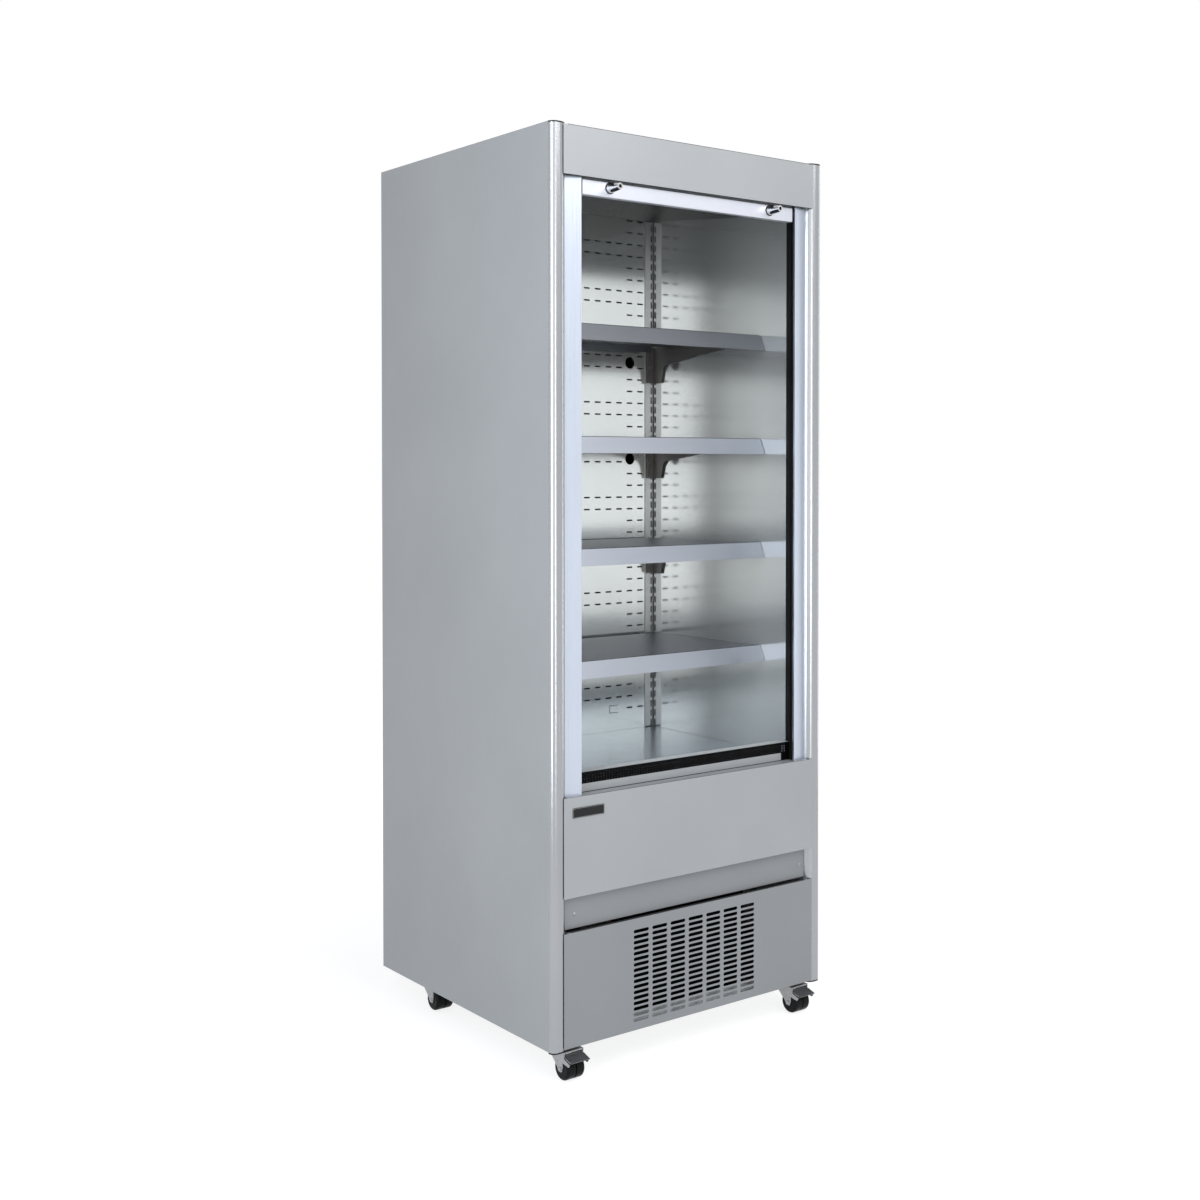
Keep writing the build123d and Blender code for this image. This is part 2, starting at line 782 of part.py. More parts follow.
tub_half = inner_half - 2 * fit
ledge_height = deck_top - deck_flange - 0.5
ledge_reach = 12
with BuildPart() as tub_liner:
    block((-tub_half, tub_half), (tub_front, liner_rear - fit), (tub_floor, ledge_height))
    block((-tub_half + skin, tub_half - skin), (tub_front + skin, liner_rear - fit - skin),
          (tub_floor + skin, ledge_height + 1), mode=Mode.SUBTRACT)
    block((-tub_half, tub_half), (tub_front, tub_front + skin), (ledge_height - 1, sill - fit))
    for ledge in both_sides((tub_half - ledge_reach, tub_half)):
        block(ledge, (return_rear, back_panel_depth), (ledge_height - skin, ledge_height))
    for x, y, radius in pipe_ports:
        rod(radius + curved_gap, x, y, (tub_floor - 1, tub_floor + 2 * skin), mode=Mode.SUBTRACT)
write(tub_liner, "tub_liner")

grille_half = half - return_side
grille_height = sill + return_height
with BuildPart() as return_grille:
    folded_sheet([(return_rear, ledge_height), (return_rear, grille_height),
                  (return_front, grille_height), (return_front, grille_height - 3 * skin)], grille_half)
    hole_columns = int((2 * grille_half - 2 * hole_margin) / hole_pitch)
    grille_middle = (sill + 0.5 + grille_height) / 2
    perforated_plate(facing_plane(return_front, grille_middle), (2 * grille_half, grille_height - sill - 0.5),
                     punched(rectangle_hole(hole_size, hole_size),
                             grid(hole_pitch, hole_row_pitch, hole_columns, hole_rows,
                                  (0, sill + hole_row_lift - grille_middle))), skin)
write(return_grille, "return_grille")

deck_half = inner_half - deck_side_gap
deck_front = return_rear + 0.3
strip_front = back_panel_depth - duct_strip
deck_rear = strip_front - deck_joint
with BuildPart() as deck_tray:
    block((-deck_half, deck_half), (deck_front, deck_rear), (deck_top - skin, deck_top))
    for edge in both_sides((deck_half - skin, deck_half)):
        block(edge, (deck_front, deck_rear), (deck_top - deck_flange, deck_top))
    for low, high in ((deck_front, deck_front + skin), (deck_rear - skin, deck_rear)):
        block((-deck_half, deck_half), (low, high), (deck_top - deck_flange, deck_top))
    for corner in both_sides((half - guide_block - 3, half)):
        block(corner, (deck_front - 1, liner_front + fit), (deck_top - deck_flange - 1, deck_top + 1),
              mode=Mode.SUBTRACT)
    block((-deck_half, deck_half), (strip_front, back_panel_depth + skin), (deck_top - skin, deck_top))
    block((-deck_half, deck_half), (strip_front, strip_front + skin), (deck_top - deck_flange, deck_top))
write(deck_tray, "deck_tray")

# ---------------------------------------------------------------- shelves
shelf_rear = back_panel_depth - shelf_rear_gap
lip_fold = shelf_setback + lip_lean


def shelf(top):
    """One shelf, with a leaning front lip that stands a little above its surface."""
    surface = top - lip_step
    with BuildPart() as tray:
        folded_sheet([(shelf_rear, surface), (lip_fold + lip_top, surface), (lip_fold + lip_top, top),
                      (lip_fold, top), (shelf_setback, top - lip_height),
                      (shelf_setback + lip_hem, top - lip_height)], inner_half - shelf_side_gap)
        flange_half = half - bracket_side - bracket_flange - 1
        block((-flange_half, flange_half), (shelf_rear - skin, shelf_rear), (surface - shelf_flange, surface))
    return tray


for number, top in enumerate(shelf_tops, start=1):
    write(shelf(top), f"shelf_{number}")

bracket_rear = upright_front - bracket_gap
bracket_front = lip_fold + lip_top + 6
bracket_outer = half - bracket_side
with BuildPart() as shelf_brackets:
    for top in shelf_tops:
        seat = top - lip_step - skin - fit
        heel = bracket_rear - bracket_heel
        with BuildSketch(Plane.YZ.offset(bracket_outer - bracket_plate)) as arm:
            with BuildLine():
                outline = [(bracket_front, seat), (bracket_front, top - bracket_nose_drop),
                           (shelf_setback + bracket_knee, top - bracket_knee_drop),
                           (heel - bracket_root, top - bracket_root_drop),
                           (heel - bracket_heel_round, top - bracket_heel_drop),
                           (heel, top - bracket_drop), (bracket_rear, top - bracket_drop), (bracket_rear, seat)]
                Polyline(*[(back(y), up(z)) for y, z in outline], close=True)
            make_face()
            heel_corner = (back(heel - bracket_heel_round), up(top - bracket_heel_drop), 0)
            fillet(arm.vertices().sort_by_distance(heel_corner)[0], bracket_heel_round)
        extrude(amount=bracket_plate)
        block((bracket_outer - bracket_flange, bracket_outer), (bracket_rear - 4, bracket_rear - 2),
              (top - bracket_drop, seat))
        rod(bracket_hole_radius, bracket_outer - bracket_flange / 2, (bracket_rear - 8, bracket_rear),
            top - bracket_drop + bracket_hole_lift, mode=Mode.SUBTRACT)
        for notches in hook_notches:
            hook = top - shelf_lift + notch_offset - notches * notch_pitch
            block((bracket_outer - bracket_plate, bracket_outer), (bracket_rear - 3, bracket_rear + hook_reach),
                  (hook - hook_height / 2, hook + hook_height / 2))
    mirror(about=Plane.YZ)
write(shelf_brackets, "shelf_brackets")

# ---------------------------------------------------------------- night blind
with BuildPart() as blind_rail:
    with BuildSketch(Plane.YZ):
        with Locations((back(rail_front + rail_thickness / 2), up(rail_bottom + rail_height / 2))):
            RectangleRounded(rail_thickness, rail_height, rail_round)
            Rectangle(rail_thickness - 2 * rail_wall, rail_height - 2 * rail_wall, mode=Mode.SUBTRACT)
    extrude(amount=rail_half, both=True)
    tongue_bottom = rail_bottom + tongue_lift
    for plug, tongue in zip(both_sides((rail_half - 12, rail_half)),
                            both_sides((rail_half - 1, half - guide_block - tongue_gap))):
        block(plug, (rail_front + 1, rail_front + rail_thickness - 1),
              (rail_bottom + 1, rail_top - 1))
        block(tongue, (tongue_front, tongue_front + tongue_thickness),
              (tongue_bottom, tongue_bottom + tongue_height))
write(blind_rail, "blind_rail")

peg_height = rail_bottom + rail_height / 2 + 3
with BuildPart() as stop_pegs:
    for side in (-1, 1):
        with Locations((side * peg_spacing / 2, back((rail_front - peg_reach) / 2), up(peg_height))):
            Cone(peg_base_radius, peg_tip_radius, rail_front + peg_reach, rotation=(90, 0, 0))
        rod(peg_bore_radius, side * peg_spacing / 2, (-peg_reach - 1, -peg_reach + peg_bore_depth),
            peg_height, mode=Mode.SUBTRACT)
write(stop_pegs, "stop_pegs")

with BuildPart() as blind_film:
    block((-film_width / 2, film_width / 2),
          (film_depth - film_thickness / 2, film_depth + film_thickness / 2), (rail_top, roller_height))
write(blind_film, "blind_film")

bracket_x = guide_outer
roller_bracket_sheet = 2.5
with BuildPart() as blind_roller:
    rod(roller_radius, (-film_width / 2, film_width / 2), roller_depth, roller_height)
    pin_end = half - bracket_x - 0.3
    rod(roller_pin_radius, (-pin_end, pin_end), roller_depth, roller_height)
write(blind_roller, "blind_roller")

with BuildPart() as roller_brackets:
    for plate_x in both_sides((half - bracket_x - roller_bracket_sheet, half - bracket_x)):
        block(plate_x, (guide_block_front, liner_front - 1), (fascia_bottom + 2, roof - skin - fit))
        rod(roller_pin_radius + running_fit, plate_x, roller_depth, roller_height, mode=Mode.SUBTRACT)
write(roller_brackets, "roller_brackets")

# ---------------------------------------------------------------- machine compartment
base_half = half - foam_side
base_sheet = 2
base_edge = 30
base_front = post_depth + 0.5
with BuildPart() as base_frame:
    block((-base_half, base_half), (base_front, foam_rear), (0, base_sheet))
    block((-strip_half, strip_half), (cap_rear, base_front), (0, base_sheet))
    for edge in both_sides((base_half - base_sheet, base_half)):
        block(edge, (base_front, foam_rear), (0, base_edge))
    for low, high in ((base_front, base_front + base_sheet), (foam_rear - base_sheet, foam_rear)):
        block((-base_half, base_half), (low, high), (0, base_edge))
write(base_frame, "base_frame")

with BuildPart() as machine_roof:
    block((-base_half, base_half), (base_front, foam_rear), (foam_bottom - skin - fit, foam_bottom - fit))
    for x, y, radius in pipe_ports:
        rod(radius + curved_gap, x, y, (foam_bottom - 5, foam_bottom + 1), mode=Mode.SUBTRACT)
write(machine_roof, "machine_roof")

coil_front = 44
coil_rear = coil_front + fin_depth
coil_bottom = base_sheet + fit
coil_top = coil_bottom + condenser_height
shroud_rear = coil_rear + fit + shroud_depth


def motor_mount(x, z, plate_rear, fan_radius):
    """A motor on a bar behind a fan's ring, held off the plate by two stays."""
    bar_front = plate_rear + bar_gap
    bar_half = fan_radius + bar_overhang
    block((x - bar_half, x + bar_half), (bar_front, bar_front + bar_sheet), (z - bar_width / 2, z + bar_width / 2))
    for side in (-1, 1):
        rod(stay_radius, x + side * (bar_half - stay_inset), (plate_rear - skin / 2, bar_front + 1), z)
    rod(motor_radius, x, (bar_front, bar_front + motor_length), z)
    rod(shaft_radius, x, (plate_rear - fan_depth + stay_inset, bar_front + 1), z)


def fan(x, z, plate_rear, radius, label):
    """A fan of flat pitched blades round a hub, turning on its motor's shaft."""
    middle = plate_rear - fan_depth / 2 + fan_lead
    with BuildPart(Plane(origin=(x, back(middle), up(z)), x_dir=(1, 0, 0), z_dir=(0, 1, 0))) as rotor:
        with PolarLocations((fan_hub_radius + radius) / 2, fan_blades):
            Box(radius - fan_hub_radius + 4, radius * blade_share, blade_sheet, rotation=(blade_pitch, 0, 0))
        Cylinder(radius, fan_depth * 3, mode=Mode.INTERSECT)
        Cylinder(fan_hub_radius, fan_depth - 4)
        Cylinder(shaft_radius + running_fit, fan_depth * 3, mode=Mode.SUBTRACT)
    write(rotor, label)


with BuildPart() as condenser_coil:
    block((-condenser_half, condenser_half), (coil_front, coil_rear), (coil_bottom, coil_top))
    for side in (-1, 1):
        for row in range(condenser_rows):
            bend_z = coil_bottom + condenser_row_lift + row * condenser_row_pitch
            with Locations((side * condenser_half, back(coil_front + fin_depth / 2), up(bend_z))):
                Torus(return_bend, pipe_radius, rotation=(90, 0, 0))
write(condenser_coil, "condenser_coil")

condenser_middle = coil_bottom + condenser_height / 2
with BuildPart() as condenser_shroud:
    block((-condenser_half, condenser_half), (coil_rear + fit, shroud_rear), (coil_bottom, coil_top))
    block((-condenser_half + skin, condenser_half - skin), (coil_rear, shroud_rear - skin),
          (coil_bottom + skin, coil_top - skin), mode=Mode.SUBTRACT)
    rod(condenser_fan_radius + fan_tip_gap, 0, (coil_rear, shroud_rear + 1), condenser_middle, mode=Mode.SUBTRACT)
    motor_mount(0, condenser_middle, shroud_rear, condenser_fan_radius)
write(condenser_shroud, "condenser_shroud")
fan(0, condenser_middle, shroud_rear, condenser_fan_radius, "condenser_fan")

fan_plate_rear = evaporator_fan_depth
fan_plate_top = ledge_height - skin - 2
evaporator_middle = (tub_floor + skin + fan_plate_top) / 2
with BuildPart() as evaporator_fan_plate:
    block((-tub_half + skin + 1, tub_half - skin - 1), (fan_plate_rear - skin, fan_plate_rear),
          (tub_floor + skin + fit, fan_plate_top))
    for side in (-1, 1):
        rod(evaporator_fan_radius + fan_tip_gap, side * evaporator_fan_side, (fan_plate_rear - 5, fan_plate_rear + 5),
            evaporator_middle, mode=Mode.SUBTRACT)
        motor_mount(side * evaporator_fan_side, evaporator_middle, fan_plate_rear, evaporator_fan_radius)
write(evaporator_fan_plate, "evaporator_fan_plate")
for side, name in ((-1, "left"), (1, "right")):
    fan(side * evaporator_fan_side, evaporator_middle, fan_plate_rear, evaporator_fan_radius,
        f"evaporator_fan_{name}")

evaporator_half = inner_half - evaporator_side
with BuildPart() as evaporator_coil:
    block((-evaporator_half, evaporator_half), (evaporator_front, evaporator_rear),
          (tub_floor + skin + fit, fan_plate_top))
    for side in (-1, 1):
        for row in range(evaporator_rows):
            for column in range(evaporator_columns):
                bend = (evaporator_front + evaporator_column_lead + column * evaporator_column_pitch,
                        tub_floor + evaporator_row_lift + row * evaporator_row_pitch)
                with Locations((side * evaporator_half, back(bend[0]), up(bend[1]))):
                    Torus(return_bend, pipe_radius, rotation=(90, 0, 0))
write(evaporator_coil, "evaporator_coil")

compressor_floor = base_sheet + fit + foot_height
with BuildPart() as compressor:
    plate_width, plate_depth, plate_sheet = compressor_plate
    rod(compressor_radius, compressor_x, compressor_depth,
        (compressor_floor + plate_sheet - 1, compressor_floor + compressor_height))
    fillet(compressor.edges().filter_by(GeomType.CIRCLE), compressor_round)
    block((compressor_x - plate_width / 2, compressor_x + plate_width / 2),
          (compressor_depth - plate_depth / 2, compressor_depth + plate_depth / 2),
          (compressor_floor, compressor_floor + plate_sheet))
    for foot_x, foot_y in grid(*compressor_feet, 2, 2, (compressor_x, compressor_depth)):
        rod(foot_radius, foot_x, foot_y, (base_sheet + fit, compressor_floor + 1))
write(compressor, "compressor")

with BuildPart() as drip_tray:
    tray_front = liner_rear - tray_setback
    tray_floor = base_sheet + fit
    block((-tray_width / 2, tray_width / 2), (tray_front, tray_front + tray_depth),
          (tray_floor, tray_floor + tray_height))
    block((-tray_width / 2 + tray_wall, tray_width / 2 - tray_wall),
          (tray_front + tray_wall, tray_front + tray_depth - tray_wall),
          (tray_floor + tray_wall, tray_floor + tray_height + 1), mode=Mode.SUBTRACT)
write(drip_tray, "drip_tray")

with BuildPart() as drain_pipe:
    drain_x, drain_y, drain_r = pipe_ports[0]
    rod(drain_r, drain_x, drain_y, (base_sheet + 20, tub_floor - fit))
    rod(drain_r - drain_wall, drain_x, drain_y, (base_sheet, tub_floor + 1), mode=Mode.SUBTRACT)
write(drain_pipe, "drain_pipe")

with BuildPart() as controller_box:
    box_width, box_depth, box_height = controller_size
    box_outer = half - controller_side
    box_floor = base_sheet + fit
    block((box_outer - box_width, box_outer), (controller_front, controller_front + box_depth),
          (box_floor, box_floor + box_height))
    fillet(controller_box.edges().filter_by(Axis.Z), controller_round)
    rod(gland_radius, box_outer - box_width / 2, (controller_front - 2 * gland_radius, controller_front + 2),
        box_floor + box_height / 2)
write(controller_box, "controller_box")

shell_top = compressor_floor + compressor_height
suction_x, suction_y = pipe_ports[1][:2]
liquid_x, liquid_y = pipe_ports[2][:2]
coil_middle = coil_front + fin_depth / 2
coil_side = condenser_half + fit
duct_height = tub_floor + 40
discharge_port = compressor_x - port_side
discharge_x = coil_side + discharge_side
discharge_top = shell_top + discharge_lift
discharge_end = coil_top - discharge_drop
suction_port = compressor_x + port_side
suction_top = shell_top + suction_lift
liquid_bottom = coil_bottom + liquid_lift
pipe_routes = [
    [(discharge_port, compressor_depth, shell_top), (discharge_port, compressor_depth, discharge_top),
     (discharge_x, compressor_depth, discharge_top), (discharge_x, coil_middle, discharge_top),
     (discharge_x, coil_middle, discharge_end), (coil_side, coil_middle, discharge_end)],
    [(suction_port, compressor_depth, shell_top), (suction_port, compressor_depth, suction_top),
     (suction_x, suction_y, suction_top), (suction_x, suction_y, duct_height),
     (suction_x, evaporator_rear + fit, duct_height)],
    [(coil_side, coil_middle, liquid_bottom), (liquid_x, coil_middle, liquid_bottom),
     (liquid_x, liquid_y, liquid_bottom), (liquid_x, liquid_y, duct_height),
     (liquid_x, evaporator_rear + fit, duct_height)],
]
with BuildPart() as refrigerant_pipes:
    for route in pipe_routes:
        with BuildLine() as path:
            FilletPolyline(*[(x, back(y), up(z)) for x, y, z in route], radius=pipe_bend)
        with BuildSketch(Plane(origin=path.line @ 0, z_dir=path.line % 0)):
            Circle(pipe_radius)
        sweep(path=path.line)
write(refrigerant_pipes, "refrigerant_pipes")

# ---------------------------------------------------------------- castors
crown_top = -castor_plate_sheet - race_height - crown_gap
axle_height = wheel_radius - castor_height
fork_half = wheel_width / 2 + fork_gap
braked = ("front_left", "front_right")

with BuildPart() as castor_plates:
    for x, y in castor_places.values():
        block((x - castor_plate / 2, x + castor_plate / 2), (y - castor_plate / 2, y + castor_plate / 2),
              (-castor_plate_sheet, 0))
        for bolt_x in (-1, 1):
            for bolt_y in (-1, 1):
                rod(castor_bolt_radius, x + bolt_x * castor_bolt_spacing / 2,
                    y + bolt_y * castor_bolt_spacing / 2, (-castor_plate_sheet - 1, 1), mode=Mode.SUBTRACT)
        rod(race_radius, x, y, (-castor_plate_sheet - race_height, -castor_plate_sheet))
        rod(kingpin_radius, x, y, (crown_top - crown_sheet - 1, -castor_plate_sheet))
write(castor_plates, "castor_plates")


def castor_fork(x, y, has_brake):
    """A fork that trails its axle in front of the kingpin, with arms for a pedal where it has one."""
    axle_y = y - castor_trail
    crown_bottom = crown_top - crown_sheet
    crown_rear = y + crown_length / 2 + 4
    pin_y = axle_y - pedal_pin_lead
    pin_z = axle_height + pedal_pin_lift
    crown_front = pin_y - 4
    arm_fall = sin(radians(pedal_slope))
    cheek = [(crown_rear, crown_top), (crown_rear, crown_bottom - 2), (axle_y + fork_eye + 4, axle_height + 4),
             (axle_y + fork_eye - 3, axle_height - fork_eye + 2), (axle_y - fork_eye + 3, axle_height - fork_eye + 2),
             (axle_y - fork_eye - 1, axle_height + 4), (axle_y - fork_eye - 1, axle_height + 15)]
    if has_brake:
        arm_tip = pin_y - pedal_length + 4
        arm_top = pin_z - pedal_sheet - 1.5
        cheek += [(arm_tip + 4, arm_top - 28 * arm_fall - 5), (arm_tip, arm_top - 24 * arm_fall),
                  (crown_front, arm_top), (crown_front, crown_top)]
    else:
        cheek += [(axle_y - 6, crown_bottom - 4), (crown_front, crown_top)]
    with BuildPart() as fork:
        for sheet_x in (x - fork_half - fork_sheet, x + fork_half):
            with BuildSketch(Plane.YZ.offset(sheet_x)):
                with BuildLine():
                    Polyline(*[(back(point_y), up(point_z)) for point_y, point_z in cheek], close=True)
                make_face()
            extrude(amount=fork_sheet)
        block((x - fork_half - 1, x + fork_half + 1), (crown_front + 1, crown_rear), (crown_bottom, crown_top))
        rod(kingpin_radius + running_fit, x, y, (crown_bottom - 2, crown_top + 2), mode=Mode.SUBTRACT)
        rod(axle_radius, (x - fork_half - fork_sheet - 2, x + fork_half + fork_sheet + 2), axle_y, axle_height)
        if has_brake:
            rod(pedal_pin_radius, (x - fork_half - 1, x + fork_half + 1), pin_y, pin_z)
    return fork


def castor_wheels(x, y):
    """Twin wheels with a groove between their treads, turning on the fork's axle."""
    axle_y = y - castor_trail
    with BuildPart() as wheels:
        rod(wheel_radius, (x - wheel_width / 2, x + wheel_width / 2), axle_y, axle_height)
        fillet(wheels.edges().filter_by(GeomType.CIRCLE), wheel_round)
        rod(wheel_radius + 1, (x - wheel_groove / 2, x + wheel_groove / 2), axle_y, axle_height,
            mode=Mode.SUBTRACT)
        rod(wheel_radius - wheel_groove_depth, (x - wheel_groove, x + wheel_groove), axle_y, axle_height)
        rod(axle_radius + running_fit, (x - wheel_width, x + wheel_width), axle_y, axle_height,
            mode=Mode.SUBTRACT)
    return wheels


def brake_pedal(x, y):
    """A sloping pedal that turns on a pin across the fork's arms."""
    pin_y = y - castor_trail - pedal_pin_lead
    pin_z = axle_height + pedal_pin_lift
    fall = sin(radians(pedal_slope)) * pedal_length
    reach = cos(radians(pedal_slope)) * pedal_length
    plate_top = pin_z + 1.5
    with BuildPart() as pedal:
        with BuildSketch(Plane.YZ.offset(x)):
            with BuildLine():
                Polyline(*[(back(point_y), up(point_z)) for point_y, point_z in (
                    (pin_y, plate_top), (pin_y, plate_top - pedal_sheet),
                    (pin_y - reach, plate_top - pedal_sheet - fall), (pin_y - reach - 1, plate_top - fall))],
                    close=True)
            make_face()
        extrude(amount=fork_half + fork_sheet, both=True)
        barrel_half = wheel_width / 2
        for trim in both_sides((barrel_half, fork_half + fork_sheet + 1)):
            block((x + trim[0], x + trim[1]), (pin_y - 6, pin_y + 5), (pin_z - 10, pin_z + 10),
                  mode=Mode.SUBTRACT)
        rod(pedal_barrel_radius, (x - barrel_half, x + barrel_half), pin_y, pin_z)
        rod(pedal_pin_radius + running_fit, (x - barrel_half - 1, x + barrel_half + 1), pin_y, pin_z,
            mode=Mode.SUBTRACT)
    return pedal


for place, (x, y) in castor_places.items():
    write(castor_fork(x, y, place in braked), f"castor_fork_{place}")
    write(castor_wheels(x, y), f"castor_wheels_{place}")
    if place in braked:
        write(brake_pedal(x, y), f"brake_pedal_{place}")
print("blind travel", round(rail_travel, 2), "shelf tops", shelf_tops, "notches", notch_count)
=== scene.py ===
# %% [markdown]
# # Dressing an open multideck display fridge
# The cabinet is already built as an engineering model: every panel, shelf, castor and the night blind
# has its true place and moves on its joints. This lesson gives it its looks. It loads the model as a
# fixed frame, makes one finish after another, adds the small things that a drawing leaves out, and
# then sets the light and the camera.

# %% Load the cabinet
import json
from math import asin, cos, pi, radians, sin

import bmesh
import bpy
from mathutils import Matrix, Vector

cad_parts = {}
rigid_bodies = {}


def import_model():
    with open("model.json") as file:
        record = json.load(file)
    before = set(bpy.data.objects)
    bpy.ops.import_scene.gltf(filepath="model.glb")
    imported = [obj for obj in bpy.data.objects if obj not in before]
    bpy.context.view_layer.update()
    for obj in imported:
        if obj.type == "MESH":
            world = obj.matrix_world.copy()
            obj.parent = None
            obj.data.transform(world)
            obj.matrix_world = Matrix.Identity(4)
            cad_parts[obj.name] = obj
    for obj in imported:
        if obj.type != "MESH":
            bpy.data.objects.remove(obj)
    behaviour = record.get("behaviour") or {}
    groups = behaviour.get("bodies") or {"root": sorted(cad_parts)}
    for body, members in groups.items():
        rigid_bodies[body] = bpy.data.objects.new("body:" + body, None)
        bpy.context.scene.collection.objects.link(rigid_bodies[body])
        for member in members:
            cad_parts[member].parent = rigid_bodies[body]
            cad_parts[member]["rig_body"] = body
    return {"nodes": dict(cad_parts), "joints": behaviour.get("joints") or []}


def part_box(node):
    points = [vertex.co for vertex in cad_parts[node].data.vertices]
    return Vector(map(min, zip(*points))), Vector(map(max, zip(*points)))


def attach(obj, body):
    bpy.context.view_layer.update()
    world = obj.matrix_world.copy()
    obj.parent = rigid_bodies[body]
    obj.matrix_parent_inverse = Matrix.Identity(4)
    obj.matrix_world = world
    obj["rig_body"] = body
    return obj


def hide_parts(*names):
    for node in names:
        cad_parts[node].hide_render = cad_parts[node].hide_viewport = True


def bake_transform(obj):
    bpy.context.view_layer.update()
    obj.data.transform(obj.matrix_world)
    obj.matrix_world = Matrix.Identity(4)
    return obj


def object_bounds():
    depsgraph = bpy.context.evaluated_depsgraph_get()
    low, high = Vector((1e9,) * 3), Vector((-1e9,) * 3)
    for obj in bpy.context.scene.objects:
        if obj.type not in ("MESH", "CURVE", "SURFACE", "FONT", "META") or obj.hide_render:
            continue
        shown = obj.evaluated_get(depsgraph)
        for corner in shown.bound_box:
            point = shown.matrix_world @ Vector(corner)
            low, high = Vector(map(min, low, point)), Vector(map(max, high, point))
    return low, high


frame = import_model()
cabinet_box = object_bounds()
cabinet_size = [round(v, 3) for v in cabinet_box[1] - cabinet_box[0]]
print("parts of the cabinet:", len(frame["nodes"]), "size", cabinet_size)

# %% [markdown]
# Places inside the cabinet are easiest to read the way a cabinet maker gives them: how far from the
# middle, how deep behind the front plane and how high above the underside, in millimetres. Blender
# works in metres from the floor, so one helper turns the first into the second.

# %% The cabinet maker's places
front_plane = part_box("corner_posts")[0].y
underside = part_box("corner_posts")[0].z


def at(x, depth, height):
    """A place from the middle, behind the front plane and above the underside, all in mm."""
    return Vector((x / 1000, front_plane + depth / 1000, underside + height / 1000))


joint_place = {joint["name"]: Vector(joint["pos_m"]) for joint in frame["joints"] if "pos_m" in joint}
print("front plane at y", round(front_plane, 4), "underside at z", round(underside, 4))

# %% [markdown]
# ## Finishes
# A sheet-metal finish is never one even colour. Seen close, rolled sheet has a fine grain along one
# direction, slow clouds of slightly brighter and duller metal, and softly broken edges that catch the
# light. One helper builds these three things into a node material: a stretched noise for the grain,
# a large noise for the clouds, and a bevel node that rounds the edges in the shading alone.

# %% One recipe for all sheet metal
def finish(name):
    """A new node material: the material, its tree and its surface shader."""
    material = bpy.data.materials.new(name)
    material.use_nodes = True
    return material, material.node_tree, material.node_tree.nodes["Principled BSDF"]


def noise(tree, stretch, scale=1.0, detail=3.0, rough=0.5):
    """Noise over the object's own space, stretched along the axes."""
    place = tree.nodes.new("ShaderNodeTexCoord")
    mapping = tree.nodes.new("ShaderNodeMapping")
    mapping.inputs["Scale"].default_value = stretch
    texture = tree.nodes.new("ShaderNodeTexNoise")
    texture.inputs["Scale"].default_value = scale
    texture.inputs["Detail"].default_value = detail
    texture.inputs["Roughness"].default_value = rough
    tree.links.new(place.outputs["Object"], mapping.inputs["Vector"])
    tree.links.new(mapping.outputs["Vector"], texture.inputs["Vector"])
    return texture.outputs["Fac"]


def ranged(tree, value, low, high, start=0.3, stop=0.7):
    """The value spread between a low and a high figure."""
    spread = tree.nodes.new("ShaderNodeMapRange")
    for socket, number in (("From Min", start), ("From Max", stop), ("To Min", low), ("To Max", high)):
        spread.inputs[socket].default_value = number
    tree.links.new(value, spread.inputs["Value"])
    return spread.outputs["Result"]


def blended(tree, share, dark, light):
    """A colour between two colours."""
    mix = tree.nodes.new("ShaderNodeMix")
    mix.data_type = "RGBA"
    mix.inputs[6].default_value = (*dark, 1)
    mix.inputs[7].default_value = (*light, 1)
    tree.links.new(share, mix.inputs[0])
    return mix.outputs[2]


def bumped(tree, shader, height, strength, distance, edge=0.0):
    """Bump on the shader, over edges that are rounded in the shading."""
    bump = tree.nodes.new("ShaderNodeBump")
    bump.inputs["Strength"].default_value = strength
    bump.inputs["Distance"].default_value = distance
    tree.links.new(height, bump.inputs["Height"])
    if edge:
        bevel = tree.nodes.new("ShaderNodeBevel")
        bevel.samples = 4
        bevel.inputs["Radius"].default_value = edge
        tree.links.new(bevel.outputs["Normal"], bump.inputs["Normal"])
    tree.links.new(bump.outputs["Normal"], shader.inputs["Normal"])


def sheet_finish(name, dark, light, metal, rough, grain, depth=0.00001, edge=0.0008, shine=0.5):
    """Sheet metal with clouds between two colours, a grain and broken edges."""
    material, tree, shader = finish(name)
    shader.inputs["Specular IOR Level"].default_value = shine
    clouds = noise(tree, (1, 1, 1), scale=2.6, detail=4)
    streaks = noise(tree, grain, scale=1.0, detail=4, rough=0.62)
    share = ranged(tree, clouds, 0, 1, 0.35, 0.65)
    tree.links.new(blended(tree, share, dark, light), shader.inputs["Base Color"])
    tree.links.new(ranged(tree, streaks, rough[0], rough[1]), shader.inputs["Roughness"])
    shader.inputs["Metallic"].default_value = metal
    bumped(tree, shader, streaks, 0.12, depth, edge)
    return material


coated_grey = sheet_finish("satin grey coated steel", (0.30, 0.31, 0.32), (0.32, 0.33, 0.34), 0.35,
                           (0.42, 0.50), (420, 420, 14))
# The lower sheets get a darker copy of the same coated steel: painted shade low down near the floor.
coated_grey_painted_shade = sheet_finish("satin grey coated steel with painted shade, lower sheets", (0.215, 0.224, 0.233),
                               (0.23, 0.239, 0.248), 0.35, (0.42, 0.50), (420, 420, 14))
bright_extrusion = sheet_finish("bright anodised extrusion", (0.35, 0.36, 0.375), (0.37, 0.38, 0.395), 0.9,
                                (0.21, 0.28), (500, 500, 3), depth=0.000004, edge=0.0005)
land_extrusion = sheet_finish("pale anodised land", (0.46, 0.50, 0.58), (0.49, 0.53, 0.61), 0.85,
                              (0.26, 0.34), (500, 500, 3), depth=0.000004, edge=0.0005)
polished_liner = sheet_finish("polished stainless liner", (0.88, 0.90, 0.895), (0.905, 0.92, 0.915), 0.8,
                              (0.11, 0.17), (400, 400, 6), depth=0.000004)
